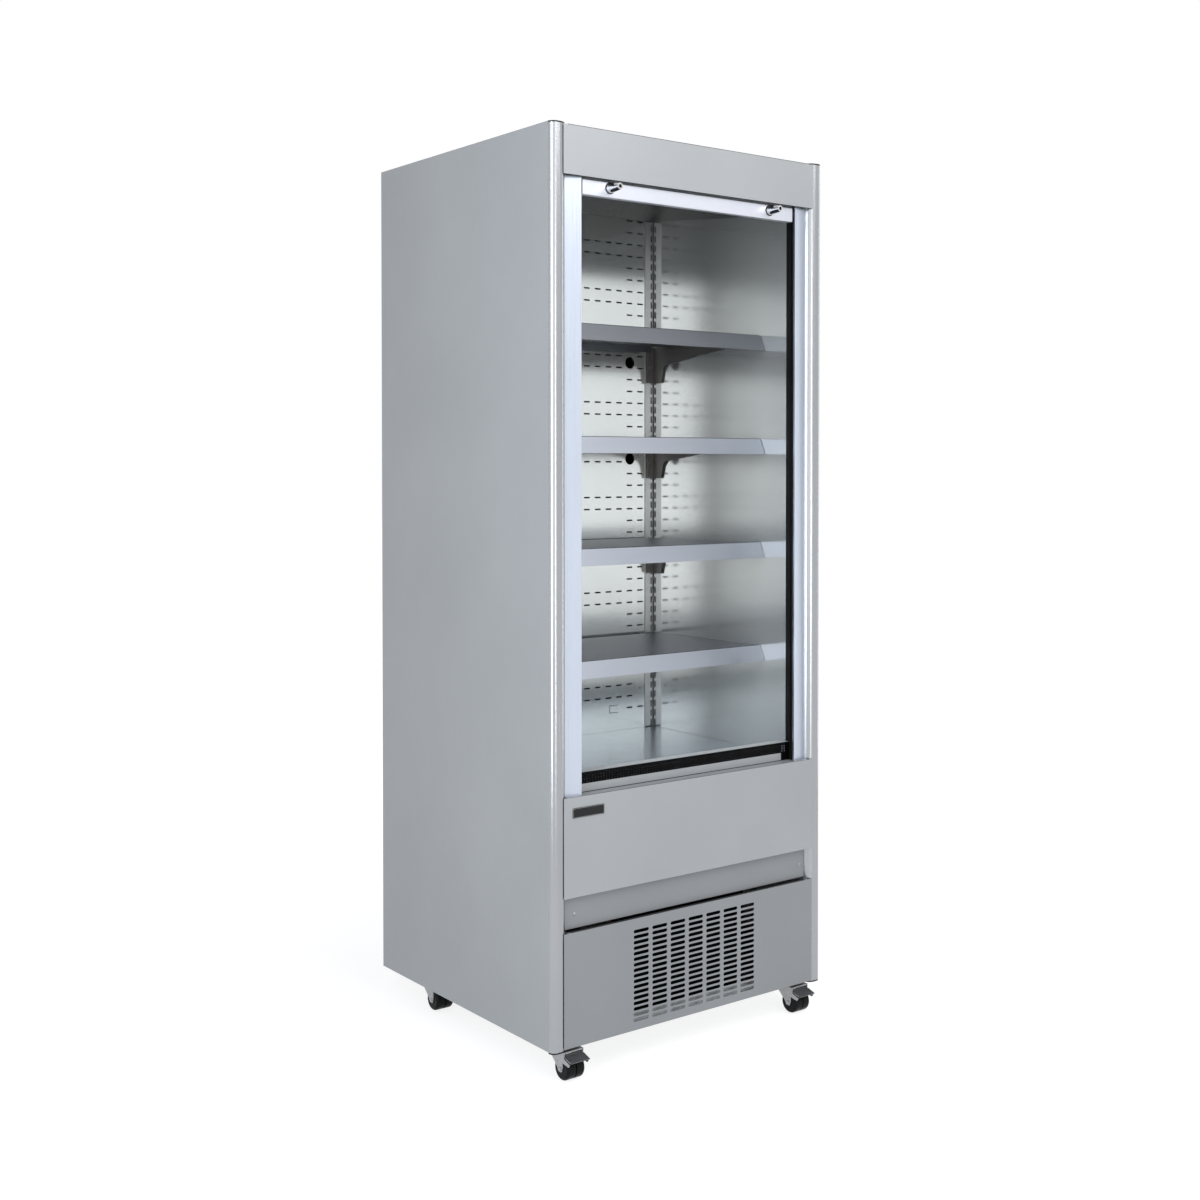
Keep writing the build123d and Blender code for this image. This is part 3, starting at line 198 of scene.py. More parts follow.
panel_steel = sheet_finish("back panel steel", (0.60, 0.62, 0.615), (0.63, 0.645, 0.64), 0.85,
                           (0.11, 0.17), (400, 400, 6), depth=0.000004)
# The deck's steel is strongly blue: partly the steel's own tone, partly painted blue reflection that the
# bottom tier's walls mirror.
deck_steel_blue_reflection = sheet_finish("deck steel with painted blue reflection", (0.74, 0.83, 0.92), (0.77, 0.86, 0.95), 0.85,
                          (0.18, 0.27), (6, 400, 400), depth=0.000004)
satin_shelf = sheet_finish("satin grey shelf steel", (0.27, 0.29, 0.33), (0.29, 0.31, 0.35), 0.8,
                           (0.34, 0.42), (9, 500, 500), depth=0.000004)
# The top shelf is the same satin steel darkened: painted shade from the dark underside of the hood above it.
top_shelf_painted_shade = sheet_finish("top shelf steel, painted shade", (0.13, 0.14, 0.155), (0.145, 0.155, 0.17), 0.8,
                            (0.34, 0.42), (9, 500, 500), depth=0.000004)
satin_rail = sheet_finish("satin anodised blind rail", (0.58, 0.60, 0.66), (0.62, 0.64, 0.70), 0.8,
                          (0.28, 0.36), (6, 900, 900), depth=0.000005, edge=0.0006)
black_enamel = sheet_finish("black enamelled steel", (0.004, 0.004, 0.0045), (0.008, 0.008, 0.009), 0.0,
                            (0.38, 0.5), (160, 160, 160), depth=0.00003, shine=0.12)
duct_lining = sheet_finish("dull duct lining", (0.015, 0.016, 0.017), (0.025, 0.026, 0.028), 0.0, (0.6, 0.75),
                           (60, 60, 60), depth=0.00003, shine=0.1)
upright_steel = sheet_finish("dull upright steel", (0.46, 0.47, 0.47), (0.50, 0.51, 0.51), 0.9,
                             (0.34, 0.42), (700, 700, 6))
# The brackets' dark brownish steel is painted shade: the arms stand in the shadow under the shelves.
bracket_steel_painted_shade = sheet_finish("shelf bracket steel, painted shade", (0.20, 0.19, 0.185), (0.24, 0.23, 0.22), 0.8,
                             (0.34, 0.44), (9, 700, 700))
print("sheet finishes made")

# %% [markdown]
# Galvanised steel hides at the back, on the roof and in the machine compartment. Its zinc freezes into
# flat crystals, a spangle of grey patches. A Voronoi pattern gives exactly such patches; its cell
# colour feeds both the tone and the roughness, so that neighbouring crystals catch the light differently.

# %% Galvanised sheet with spangle
def galvanised_finish(name, dark, light, scale):
    material, tree, shader = finish(name)
    place = tree.nodes.new("ShaderNodeTexCoord")
    crystals = tree.nodes.new("ShaderNodeTexVoronoi")
    crystals.inputs["Scale"].default_value = scale
    split = tree.nodes.new("ShaderNodeSeparateColor")
    tree.links.new(place.outputs["Object"], crystals.inputs["Vector"])
    tree.links.new(crystals.outputs["Color"], split.inputs["Color"])
    tree.links.new(blended(tree, split.outputs["Red"], dark, light), shader.inputs["Base Color"])
    tree.links.new(ranged(tree, split.outputs["Green"], 0.34, 0.5, 0, 1), shader.inputs["Roughness"])
    shader.inputs["Metallic"].default_value = 0.8
    bumped(tree, shader, noise(tree, (90, 90, 90), detail=3), 0.2, 0.00005, 0.0008)
    return material


galvanised = galvanised_finish("galvanised sheet", (0.40, 0.41, 0.42), (0.52, 0.53, 0.54), 130)
zinc_plate = galvanised_finish("bright zinc plating", (0.33, 0.335, 0.345), (0.40, 0.405, 0.415), 420)
print("galvanised and zinc made")

# %% [markdown]
# The black plastic of the guide channels, end caps, honeycomb and pedals is moulded: a fine even
# sparkle of pits from the mould, no direction in it, and slightly glossier here and there. The castor
# wheels are a harder, smoother plastic with finer pits.

# %% Moulded black plastics
def moulded_finish(name, dark, light, rough, pit_scale, pit_depth, shine=0.25):
    material, tree, shader = finish(name)
    pits = noise(tree, (pit_scale,) * 3, detail=2)
    clouds = noise(tree, (14, 14, 14), detail=3)
    tree.links.new(blended(tree, clouds, dark, light), shader.inputs["Base Color"])
    tree.links.new(ranged(tree, clouds, *rough), shader.inputs["Roughness"])
    shader.inputs["Specular IOR Level"].default_value = shine
    bumped(tree, shader, pits, 0.35, pit_depth, 0.0005)
    return material


black_moulding = moulded_finish("black moulded plastic", (0.006, 0.006, 0.0065), (0.010, 0.010, 0.011),
                                (0.32, 0.48), 1400, 0.00003)
wheel_plastic = moulded_finish("castor wheel plastic", (0.005, 0.005, 0.0055), (0.009, 0.009, 0.0095),
                               (0.24, 0.34), 500, 0.00003, shine=0.08)
pedal_plastic = moulded_finish("charcoal pedal plastic", (0.035, 0.036, 0.038), (0.06, 0.061, 0.064),
                               (0.28, 0.42), 1100, 0.00006)
tube_plastic = moulded_finish("roller tube plastic", (0.50, 0.50, 0.49), (0.58, 0.58, 0.57),
                              (0.35, 0.5), 700, 0.00004)
print("plastics made")

# %% [markdown]
# A few finishes belong to single pieces: the turned bright pegs of the blind, copper tube, thin
# aluminium fins, the closed-cell foam behind the panels and the metallised film of the blind, which
# has a fine rib across it from its weave.

# %% Turned metal, copper, fins, foam and film
turned_bright = sheet_finish("bright turned metal", (0.60, 0.60, 0.61), (0.68, 0.68, 0.69), 1.0, (0.07, 0.15),
                             (60, 2600, 60), depth=0.00001, edge=0.0003)
copper = sheet_finish("copper tube", (0.62, 0.30, 0.19), (0.74, 0.40, 0.27), 1.0,
                      (0.22, 0.36), (60, 60, 60), edge=0)
fin_aluminium = sheet_finish("thin aluminium fins", (0.56, 0.57, 0.58), (0.66, 0.67, 0.68), 0.9, (0.32, 0.44),
                             (30, 900, 900), edge=0)
# The condenser fins are black: partly a black coating, partly painted shade, so the grille slots in front of
# them stay dark.
black_fins_painted_shade = sheet_finish("black fins, painted shade", (0.003, 0.003, 0.0035), (0.006, 0.006, 0.0065), 0.0,
                          (0.5, 0.65), (30, 900, 900), edge=0, shine=0.08)


def foam_finish():
    material, tree, shader = finish("insulating foam")
    cells = noise(tree, (260, 260, 260), detail=5)
    tree.links.new(blended(tree, cells, (0.66, 0.53, 0.27), (0.80, 0.70, 0.44)), shader.inputs["Base Color"])
    shader.inputs["Roughness"].default_value = 0.9
    bumped(tree, shader, cells, 0.8, 0.0006)
    return material


def film_finish():
    material, tree, shader = finish("metallised blind film")
    ribs = noise(tree, (12, 2400, 2400), detail=1)
    creases = noise(tree, (5, 5, 34), detail=3)
    colour = blended(tree, creases, (0.60, 0.61, 0.63), (0.70, 0.71, 0.73))
    tree.links.new(colour, shader.inputs["Base Color"])
    tree.links.new(ranged(tree, creases, 0.34, 0.5), shader.inputs["Roughness"])
    shader.inputs["Metallic"].default_value = 0.5
    bumped(tree, shader, ribs, 0.5, 0.00008)
    return material


def grille_finish():
    """Enamel on the outside of the return grille and bare sheet inside its duct."""
    material, tree, shader = finish("return grille enamel")
    place = tree.nodes.new("ShaderNodeTexCoord")
    split = tree.nodes.new("ShaderNodeSeparateXYZ")
    tree.links.new(place.outputs["Object"], split.inputs["Vector"])
    enamel_ends, sheet_starts = front_plane + 0.0326, front_plane + 0.0327
    inside = ranged(tree, split.outputs["Y"], 0, 1, enamel_ends, sheet_starts)
    colour = blended(tree, inside, (0.002, 0.002, 0.0022), (0.46, 0.48, 0.49))
    tree.links.new(colour, shader.inputs["Base Color"])
    tree.links.new(ranged(tree, noise(tree, (160, 160, 160)), 0.36, 0.5), shader.inputs["Roughness"])
    shader.inputs["Specular IOR Level"].default_value = 0.05
    bumped(tree, shader, noise(tree, (900, 900, 900)), 0.2, 0.00003, 0.0005)
    return material


grille_enamel = grille_finish()
insulating_foam = foam_finish()
blind_film = film_finish()
print("single finishes made")

# %% [markdown]
# Each part of the cabinet keeps its shape and only changes its coat: the finish goes into the part's
# own material slot.

# %% Coat the cabinet's parts
castor_names = ("front_left", "front_right", "rear_left", "rear_right")
coats = {
    coated_grey: ["side_panels", "fascia", "lower_front_panel"],
    coated_grey_painted_shade: ["screw_strip", "grille_panel"],
    bright_extrusion: ["corner_posts"],
    land_extrusion: ["land_trims"],
    polished_liner: ["side_liners", "tub_liner", "evaporator_fan_plate"],
    panel_steel: ["back_panel"],
    deck_steel_blue_reflection: ["deck_tray"],
    duct_lining: ["rear_and_roof_liner"],
    upright_steel: ["shelf_uprights"],
    satin_shelf: ["shelf_1", "shelf_2", "shelf_3"],
    top_shelf_painted_shade: ["shelf_4"],
    bracket_steel_painted_shade: ["shelf_brackets"],
    satin_rail: ["blind_rail"],
    grille_enamel: ["return_grille"],
    black_enamel: ["ceiling_panel", "compressor", "condenser_fan", "evaporator_fan_left",
                   "evaporator_fan_right"],
    black_moulding: ["post_end_caps", "guide_channels", "badge", "air_outlet_honeycomb", "power_inlet",
                     "drain_pipe", "controller_box"],
    galvanised: ["rear_panel", "roof_panel", "cross_rail", "roller_brackets", "base_frame", "machine_roof",
                 "condenser_shroud", "drip_tray"],
    zinc_plate: ["castor_plates", "strip_screws"] + [f"castor_fork_{name}" for name in castor_names],
    wheel_plastic: [f"castor_wheels_{name}" for name in castor_names],
    pedal_plastic: ["brake_pedal_front_left", "brake_pedal_front_right"],
    turned_bright: ["stop_pegs"],
    copper: ["refrigerant_pipes"],
    fin_aluminium: ["condenser_coil", "evaporator_coil"],
    insulating_foam: ["foam_insulation"],
    blind_film: ["blind_film"],
    tube_plastic: ["blind_roller"],
}
for coat, names in coats.items():
    for name in names:
        for slot in frame["nodes"][name].material_slots:
            slot.material = coat
uncoated = set(frame["nodes"]) - {name for names in coats.values() for name in names}
print("coated", sum(map(len, coats.values())), "parts; without a coat:", sorted(uncoated))

# %% [markdown]
# ## Small pieces
# Screws, nuts, ribs and rims are made from a few simple moves: turning a profile round an axis as on a
# lathe, sweeping a small round section along a path, and bending a strip round edges. Each helper
# returns bare points and faces, so that many small shapes can share one mesh, such as all the screws
# of a panel.

# %% Lathe, sweep and slab
def ring_faces(rings, around):
    """Faces between rings of points, closed at both ends."""
    faces = []
    for ring in range(rings - 1):
        near, far = ring * around, (ring + 1) * around
        for step in range(around):
            after = (step + 1) % around
            faces.append((near + step, near + after, far + after, far + step))
    last = (rings - 1) * around
    return faces + [tuple(range(around))[::-1], tuple(range(last, last + around))]


def turned(profile, centre, axis, steps=28):
    """A profile of (radius, along) pairs turned round an axis through a centre, closed at its ends."""
    turn = Vector((0, 0, 1)).rotation_difference(Vector(axis)).to_matrix()
    circle = [(cos(2 * pi * step / steps), sin(2 * pi * step / steps)) for step in range(steps)]
    points = [centre + turn @ Vector((radius * right, radius * up, along))
              for radius, along in profile for right, up in circle]
    return points, ring_faces(len(profile), steps)


def swept(path, radius, sides=10):
    """A round section swept along a path of points."""
    points = []
    for place, point in enumerate(path):
        along = (path[min(place + 1, len(path) - 1)] - path[max(place - 1, 0)]).normalized()
        across = along.orthogonal() if place == 0 else across - along * across.dot(along)
        across = across.normalized()
        up = along.cross(across)
        points += [point + (across * cos(2 * pi * side / sides) + up * sin(2 * pi * side / sides)) * radius
                   for side in range(sides)]
    return points, ring_faces(len(path), sides)


def slab(low, high, edge=0.0004):
    """A box between two corners with its edges broken."""
    block = bmesh.new()
    bmesh.ops.create_cube(block, size=1)
    size, middle = high - low, (high + low) / 2
    for corner in block.verts:
        corner.co = middle + Vector([corner.co[axis] * size[axis] for axis in range(3)])
    offset = min(edge, min(size) * 0.4)
    bmesh.ops.bevel(block, geom=block.edges[:], offset=offset, segments=2, affect="EDGES", profile=0.5)
    block.verts.index_update()
    shape = [v.co.copy() for v in block.verts], [tuple(v.index for v in f.verts) for f in block.faces]
    block.free()
    return shape


def joined(shapes):
    """Several shapes as one list of points and faces."""
    points, faces = [], []
    for shape_points, shape_faces in shapes:
        faces += [tuple(corner + len(points) for corner in face) for face in shape_faces]
        points += shape_points
    return points, faces


def piece(name, shape, coat, body, smooth=True, stands_for=()):
    """A named piece with a coat that rides on a body of the cabinet."""
    mesh = bpy.data.meshes.new(name)
    mesh.from_pydata([tuple(point) for point in shape[0]], [], shape[1])
    mesh.materials.append(coat)
    tidy = bmesh.new()
    tidy.from_mesh(mesh)
    bmesh.ops.recalc_face_normals(tidy, faces=tidy.faces[:])
    tidy.to_mesh(mesh)
    tidy.free()
    new = bpy.data.objects.new(name, mesh)
    bpy.context.scene.collection.objects.link(new)
    if smooth:
        mesh.shade_smooth()
        mesh.set_sharp_from_angle(angle=radians(38))
    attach(new, body)
    if stands_for:
        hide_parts(*stands_for)
    print(f"{name}: {len(mesh.vertices)} points on {body}")
    return new


# %% [markdown]
# Pan-head screws hold the strip, the back panel, the rear panel and the roof. A real head is domed,
# with a cross pressed into it for the screwdriver. The dome is a lathe profile. Two crossed bars cut
# the recess out of its top once, with a boolean, and every screw reuses the carved head.

# %% A pan head with a cross recess
def pan_head(radius, height):
    """The points and faces of one screw head at the origin, standing along +Z, with its cross recess."""
    outline = ((1, 0), (1, 0.35), (0.93, 0.66), (0.72, 0.9), (0.4, 1))
    dome = [(radius * out, height * up) for out, up in outline]
    made = []
    arm, width = radius * 0.62, radius * 0.17
    cutters = joined([slab(Vector((-arm, -width, height * 0.35)), Vector((arm, width, height * 2)), 1e-5),
                      slab(Vector((-width, -arm, height * 0.35)), Vector((width, arm, height * 2)), 1e-5)])
    for points, faces in (turned(dome, Vector(), (0, 0, 1), 24), cutters):
        mesh = bpy.data.meshes.new("screw blank")
        mesh.from_pydata([tuple(p) for p in points], [], faces)
        made.append(bpy.data.objects.new("screw blank", mesh))
        bpy.context.scene.collection.objects.link(made[-1])
    carve = made[0].modifiers.new("cross", "BOOLEAN")
    carve.object, carve.operation, carve.use_self = made[1], "DIFFERENCE", True
    carved = made[0].evaluated_get(bpy.context.evaluated_depsgraph_get()).to_mesh()
    shape = [v.co.copy() for v in carved.vertices], [tuple(f.vertices) for f in carved.polygons]
    for blank in made:
        bpy.data.objects.remove(blank)
    return shape


def set_screws(head, places, facing):
    """The head repeated at every place, facing one way, each turned a little differently."""
    turn = Vector((0, 0, 1)).rotation_difference(Vector(facing)).to_matrix()
    shapes = []
    for number, place in enumerate(places):
        spin = Matrix.Rotation(radians(37 * number), 3, "Z")
        shapes.append(([place + turn @ spin @ point for point in head[0]], head[1]))
    return joined(shapes)


strip_head = pan_head(0.004, 0.002)
small_head = pan_head(0.0032, 0.0011)
strip_face, panel_face, rear_face, roof_face = 15, 571, 714.7, 1926
strip_rows = [at(x, strip_face, 278) for x in (-323, 334.5)]
piece("strip_screw_heads", set_screws(strip_head, strip_rows, (0, -1, 0)), zinc_plate, "cabinet",
      stands_for=["strip_screws"])
panel_rows = [at(side * 294, panel_face, height) for side in (-1, 1) for height in (636.5, 1247.3)]
piece("back_panel_screws", set_screws(small_head, panel_rows, (0, -1, 0)), zinc_plate, "cabinet")
rear_rows = [at(side * 375, rear_face, height) for side in (-1, 1) for height in range(40, 1900, 185)]
rear_rows += [at(x, rear_face, height) for x in (-200, 0, 200) for height in (20, 320, 1905)]
piece("rear_panel_screws", set_screws(small_head, rear_rows, (0, 1, 0)), zinc_plate, "cabinet")
roof_rows = [at(x, depth, roof_face) for x in (-360, -120, 120, 360) for depth in (60, 690)]
piece("roof_panel_screws", set_screws(small_head, roof_rows, (0, 0, 1)), zinc_plate, "cabinet")

# %% [markdown]
# The badge place on the lower panel stays bare: a black plaque with nothing on it. A thin bright rim
# runs round its edge, as such plaques have, made by sweeping a fine bead along a rounded rectangle.

# %% A thin rim round the bare badge
badge_low, badge_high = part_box("badge")


def rounded_loop(low, high, y, corner, steps=6):
    """Points along a rounded rectangle on an upright plane, closed."""
    left, right, foot, top = low.x + corner, high.x - corner, low.z + corner, high.z - corner
    loop = []
    corners = ((right, top, 0), (left, top, 90), (left, foot, 180), (right, foot, 270))
    for centre_x, centre_z, start in corners:
        for step in range(steps + 1):
            angle = radians(start + 90 * step / steps)
            loop.append(Vector((centre_x + corner * cos(angle), y, centre_z + corner * sin(angle))))
    return loop + loop[:1]


rim_inset = Vector((0.0012, 0, 0.0012))
rim_corner, rim_bead = 0.0018, 0.00025
rim = rounded_loop(badge_low + rim_inset, badge_high - rim_inset, badge_low.y + 0.0001, rim_corner)
piece("badge_rim", swept(rim, rim_bead, 8), turned_bright, "cabinet")

# %% [markdown]
# Thin black seals and painted shadow gaps separate the panels: a strip lies along the top edge of the fascia
# and another under it, one along the top edge of the lower panel, one at the foot of the riser, and one
# above and one below the recessed strip. Each is a fine black bar with broken edges, partly a seal and partly
# painted shade.

# %% Seals and painted shadow gaps along the front panels
def bar(ends, depths, heights):
    """A fine bar across the front, between two ends, two depths and two heights."""
    return slab(at(ends[0], depths[0], heights[0]), at(ends[1], depths[1], heights[1]), 0.0002)


panel_ends, riser_ends, strip_ends = (-348, 348), (-294, 287), (-340, 340)
fascia_top = bar(panel_ends, (1.2, 3.4), (1926.0, 1927.4))
fascia_foot = bar(panel_ends, (0.8, 6.4), (1823.0, 1824.0))
lower_panel_top = bar(panel_ends, (0.2, 1.4), (528.0, 528.5))
riser_foot = bar(riser_ends, (28.2, 29.8), (528.0, 529.2))
strip_top = bar(strip_ends, (1.4, 6.4), (316.2, 317.0))
strip_foot = bar(strip_ends, (0.9, 6.4), (244.0, 245.2))
seal_and_shadow_gap_bars = [fascia_top, fascia_foot, lower_panel_top, riser_foot, strip_top, strip_foot]
piece("panel_seals_and_shadow_gaps", joined(seal_and_shadow_gap_bars), black_moulding, "cabinet")

# %% [markdown]
# Each shelf has a thin black band along the top edge of its front lip: painted shade for the fine
# shadow line at the lip's top edge. It shows as one fine dark line from the front.

# %% Painted shade bands on the shelves' lips
shelf_tops = (786, 1036, 1286, 1536)
lip_half, band_front, band_back = 333, 155.1, 156.3
lip_shade_bands = [slab(at(-lip_half, band_front, top - 1.0), at(lip_half, band_back, top + 0.4), 0.0003)
         for top in shelf_tops]
piece("shelf_edge_shade_bands", joined(lip_shade_bands), black_moulding, "cabinet")

# %% [markdown]
# ## The night blind
# The blind is a metallised film on a spring roller behind the fascia. Wound up, it makes about fifteen
# turns round its tube, and its last stretch hangs down to the rail. The turns are one long spiral
# sheet, so they are laid out from a formula and not modelled ring by ring. The hanging stretch is a
# fine grid from the roller down to the rail, left without a body of its own.

# %% The roller tube with its end plugs and pins
roller_axis = joint_place["blind_roll_turn"]
roller_low, roller_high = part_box("blind_roller")
film_half = 0.324
film_sheet = 0.0004
wound_radius = 0.0187
tube_radius = 0.0125


def across(x):
    """A point on the roller's axis."""
    return Vector((x, roller_axis.y, roller_axis.z))


tube = [turned([(0.0112, -film_half), (tube_radius, -film_half + 0.0006), (tube_radius, film_half - 0.0006),
                (0.0112, film_half)], across(0), (1, 0, 0), 36)]
for side in (-1, 1):
    pin_length = (roller_high.x if side > 0 else -roller_low.x) - film_half
    plug = [(0.0110, 0), (0.0110, 0.0016), (0.0075, 0.0024), (0.004, 0.0024)]
    pin = [(0.004, pin_length - 0.0006), (0.0034, pin_length)]
    tube.append(turned(plug + pin, across(side * film_half), (side, 0, 0), 28))
piece("roller_tube", joined(tube), tube_plastic, "blind_roll", stands_for=["blind_roller"])

# %% The wound turns
turns = (wound_radius - tube_radius) / film_sheet
steps_round = 40
count = int(turns * steps_round)
strips = 4
columns = [-film_half + 2 * film_half * column / strips for column in range(strips + 1)]


def film_faces(rows):
    """Faces of a sheet whose points lie row by row across the film."""
    wide = strips + 1
    return [(row * wide + k, row * wide + k + 1, (row + 1) * wide + k + 1, (row + 1) * wide + k)
            for row in range(rows) for k in range(strips)]


points = []
for step in range(count + 1):
    # The film leaves the roll at its front, so the spiral ends there and runs inwards against the unwinding.
    angle = pi + 2 * pi * (count - step) / steps_round
    radius = tube_radius + 0.0002 + (wound_radius - tube_radius - 0.0003) * step / count
    points += [across(x) + Vector((0, radius * cos(angle), radius * sin(angle))) for x in columns]
wound = piece("wound_film", (points, film_faces(count)), blind_film, "blind_roll",
              stands_for=["blind_roller"])

# %% The hanging stretch
film_low, film_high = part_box("blind_film")
film_y = roller_axis.y - wound_radius - 0.0001
rows = 64
points = []
for row in range(rows + 1):
    share = row / rows
    height = film_high.z + (film_low.z - film_high.z) * (0.5 - sin(asin(1 - 2 * share) / 3))
    points += [Vector((x, film_y, height)) for x in columns]
hanging = piece("hanging_film", (points, film_faces(rows)), blind_film, "cabinet", stands_for=["blind_film"])
hanging.parent = None
del hanging["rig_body"]
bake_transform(hanging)

# %% [markdown]
# Each bright peg of the rail is hollow: a black plug sits a little way down its bore, and a dark rubber ring
# seats it on the rail. Plug and ring are painted shade, for the shade inside the bore and at the peg's foot.

# %% Painted shade plugs and rings of the pegs
peg_low, peg_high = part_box("stop_pegs")
peg_z = (peg_low.z + peg_high.z) / 2
peg_x = 0.231
plug_seat = Vector((0, 0.0137, 0))
plug = [(0.0038, 0.0), (0.0038, 0.0102), (0.0033, 0.0108), (0.0018, 0.0104)]
ring = [(0.0106, 0.0), (0.0123, 0.0), (0.0125, 0.0008), (0.0120, 0.0014), (0.0108, 0.0014)]
peg_shade_details = []
for side in (-1, 1):
    tip = Vector((side * peg_x, peg_low.y, peg_z))
    peg_shade_details.append(turned(plug, tip + plug_seat, (0, -1, 0), 28))
    peg_shade_details.append(turned(ring, Vector((side * peg_x, peg_high.y, peg_z)), (0, -1, 0), 36))
piece("peg_shade_plugs_and_rings", joined(peg_shade_details), black_moulding, "blind")

# %% [markdown]
# ## Castors
# The castors are bought pieces: zinc-plated forks with a pressed stiffening rib on each cheek, a nut
# at each end of the axle, a riveted kingpin and four bolts through the top plate. The two at the front
# have a brake pedal with a metal edge and a ribbed tread.

# %% Ribs, nuts, bolts and pedal edges
def hexagon(centre, axis, radius, height):
    """A six-sided nut with its corners chamfered."""
    rings = [(radius * 0.9, 0), (radius, height * 0.18), (radius, height * 0.82), (radius * 0.88, height)]
    return turned(rings, centre, axis, 6)


cheek = 0.0255
rib_bend, rib_bead, above_axle = 0.0055, 0.0007, 0.001


def cheek_rib(axle, side):
    """The path of the pressed rib on one cheek: down, round under the axle and up again."""
    path = [(-rib_bend, 0.016), (-rib_bend, above_axle)]
    path += [(-rib_bend * cos(radians(a)), above_axle - rib_bend * sin(radians(a)))
             for a in range(15, 180, 15)]
    path += [(rib_bend, above_axle), (0.0095, 0.018)]
    return [Vector((axle.x + side * cheek, axle.y + y, axle.z + z)) for y, z in path]


rivet = [(0.0052, 0), (0.0052, 0.0008), (0.004, 0.0016), (0.0015, 0.0018)]
rivet_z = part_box("castor_plates")[0].z + 0.0002
bolt_z, bolt_offset = underside - 0.0025, 0.0225
bolts = []
for name in castor_names:
    king = joint_place[f"swivel_{name}"]
    axle = joint_place[f"roll_{name}"]
    details = []
    for side in (-1, 1):
        nut_place = Vector((axle.x + side * (cheek - 0.0002), axle.y, axle.z))
        details.append(swept(cheek_rib(axle, side), rib_bead, 8))
        details.append(hexagon(nut_place, (side, 0, 0), 0.0046, 0.0021))
    details.append(turned(rivet, Vector((king.x, king.y, rivet_z)), (0, 0, -1), 24))
    piece(f"castor_details_{name}", joined(details), zinc_plate, f"castor_{name}")
    bolts += [hexagon(Vector((king.x + x, king.y + y, bolt_z)), (0, 0, -1), 0.0056, 0.0034)
              for x in (-bolt_offset, bolt_offset) for y in (-bolt_offset, bolt_offset)]
piece("castor_bolts", joined(bolts), zinc_plate, "cabinet")

# %% Treads and edges of the brake pedals
pedal_slope = radians(18)
fall, reach = sin(pedal_slope), cos(pedal_slope)
face_above_pin = 0.0015


def on_pedal(pin, x, along, above):
    """A place on a pedal's slope: from its middle, from its pin outwards and above its face."""
    y = pin.y - along * reach - above * fall
    return Vector((pin.x + x, y, pin.z + face_above_pin - along * fall + above * reach))


tread_half = 0.021
left_edge = [(-0.0248, 0.007, -0.0002), (-0.0248, 0.0255, -0.0002), (-0.0225, 0.0282, -0.0004)]
edge_path = left_edge + [(-x, along, above) for x, along, above in reversed(left_edge)]
for name in ("front_left", "front_right"):
    pin = joint_place[f"brake_{name}_lift"]
    treads = [swept([on_pedal(pin, x, along, 0.0001) for x in (-tread_half, tread_half)], 0.0006, 8)
              for along in (0.008, 0.0115, 0.015, 0.0185, 0.022)]
    piece(f"pedal_treads_{name}", joined(treads), pedal_plastic, f"brake_{name}")
    edge = [on_pedal(pin, *place) for place in edge_path]
    piece(f"pedal_edge_{name}", swept(edge, 0.0007, 8), zinc_plate, f"brake_{name}")

# %% [markdown]
# ## Coils
# From a step away a refrigeration coil is a block of thin aluminium fins, a few millimetres apart, on
# rows of copper tube with return bends at both ends. A solid block can't show that, so the fins are
# laid out one by one, each with a turned edge, and the tubes run through them.

# %% Finned coils
coil_margin = 0.014
fin_sheet, end_sheet = 0.00022, 0.0009
fin_faces = [(3, 2, 1, 0), (4, 5, 6, 7), (0, 1, 5, 4), (1, 2, 6, 5), (2, 3, 7, 6), (3, 0, 4, 7)]
tube_width, half_pitch, straight, bend_reach = 0.0038, 0.010, 0.002, 0.0092


def return_bend(end, side, y, z):
    """The path of one return bend at an end of the coil."""
    inner, outer = end - side * straight, end + side * straight
    bend = [Vector((inner, y - half_pitch, z)), Vector((outer, y - half_pitch, z))]
    bend += [Vector((outer + side * bend_reach * sin(radians(a)), y - half_pitch * cos(radians(a)), z))
             for a in range(20, 180, 20)]
    return bend + [Vector((outer, y + half_pitch, z)), Vector((inner, y + half_pitch, z))]


def coil(name, node, fin_gap, tube_places, fin_coat):
    """A stack of fins with tubes and return bends, filling the node's box."""
    low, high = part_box(node)
    first, last = low.x + coil_margin, high.x - coil_margin
    gaps = int((last - first) / fin_gap)
    corners = [(low.y, low.z), (high.y, low.z), (high.y, high.z), (low.y, high.z)]
    fins = []
    for k in range(gaps + 1):
        x = first + (last - first) * k / gaps
        half = (end_sheet if k in (0, gaps) else fin_sheet) / 2
        fins.append(([Vector((x + side * half, y, z)) for side in (-1, 1) for y, z in corners], fin_faces))
    piece(name + "_fins", joined(fins), fin_coat, "cabinet", smooth=False, stands_for=[node])
    tubes = []
    for place in tube_places:
        for side, end in ((-1, first), (1, last)):
            tubes.append(swept(return_bend(end, side, place.y, place.z), tube_width, 10))
        for y in (place.y - half_pitch, place.y + half_pitch):
            tubes.append(swept([Vector((first, y, place.z)), Vector((last, y, place.z))], tube_width, 10))
    piece(name + "_tubes", joined(tubes), copper, "cabinet", stands_for=[node])


condenser_tubes = [at(0, 64, 32.1 + 48 * row) for row in range(5)]
evaporator_tubes = [at(0, 245 + 35 * column, 404 + 40 * row) for row in range(3) for column in range(3)]
coil("condenser", "condenser_coil", 0.0032, condenser_tubes, black_fins_painted_shade)
coil("evaporator", "evaporator_coil", 0.0065, evaporator_tubes, fin_aluminium)

# %% [markdown]
# The compressor is a welded steel pot: a bead runs round its waist, two tube stubs stand on its
# crown and a terminal cover is clipped to its side. The controller box gets its lid with six fine ribs.

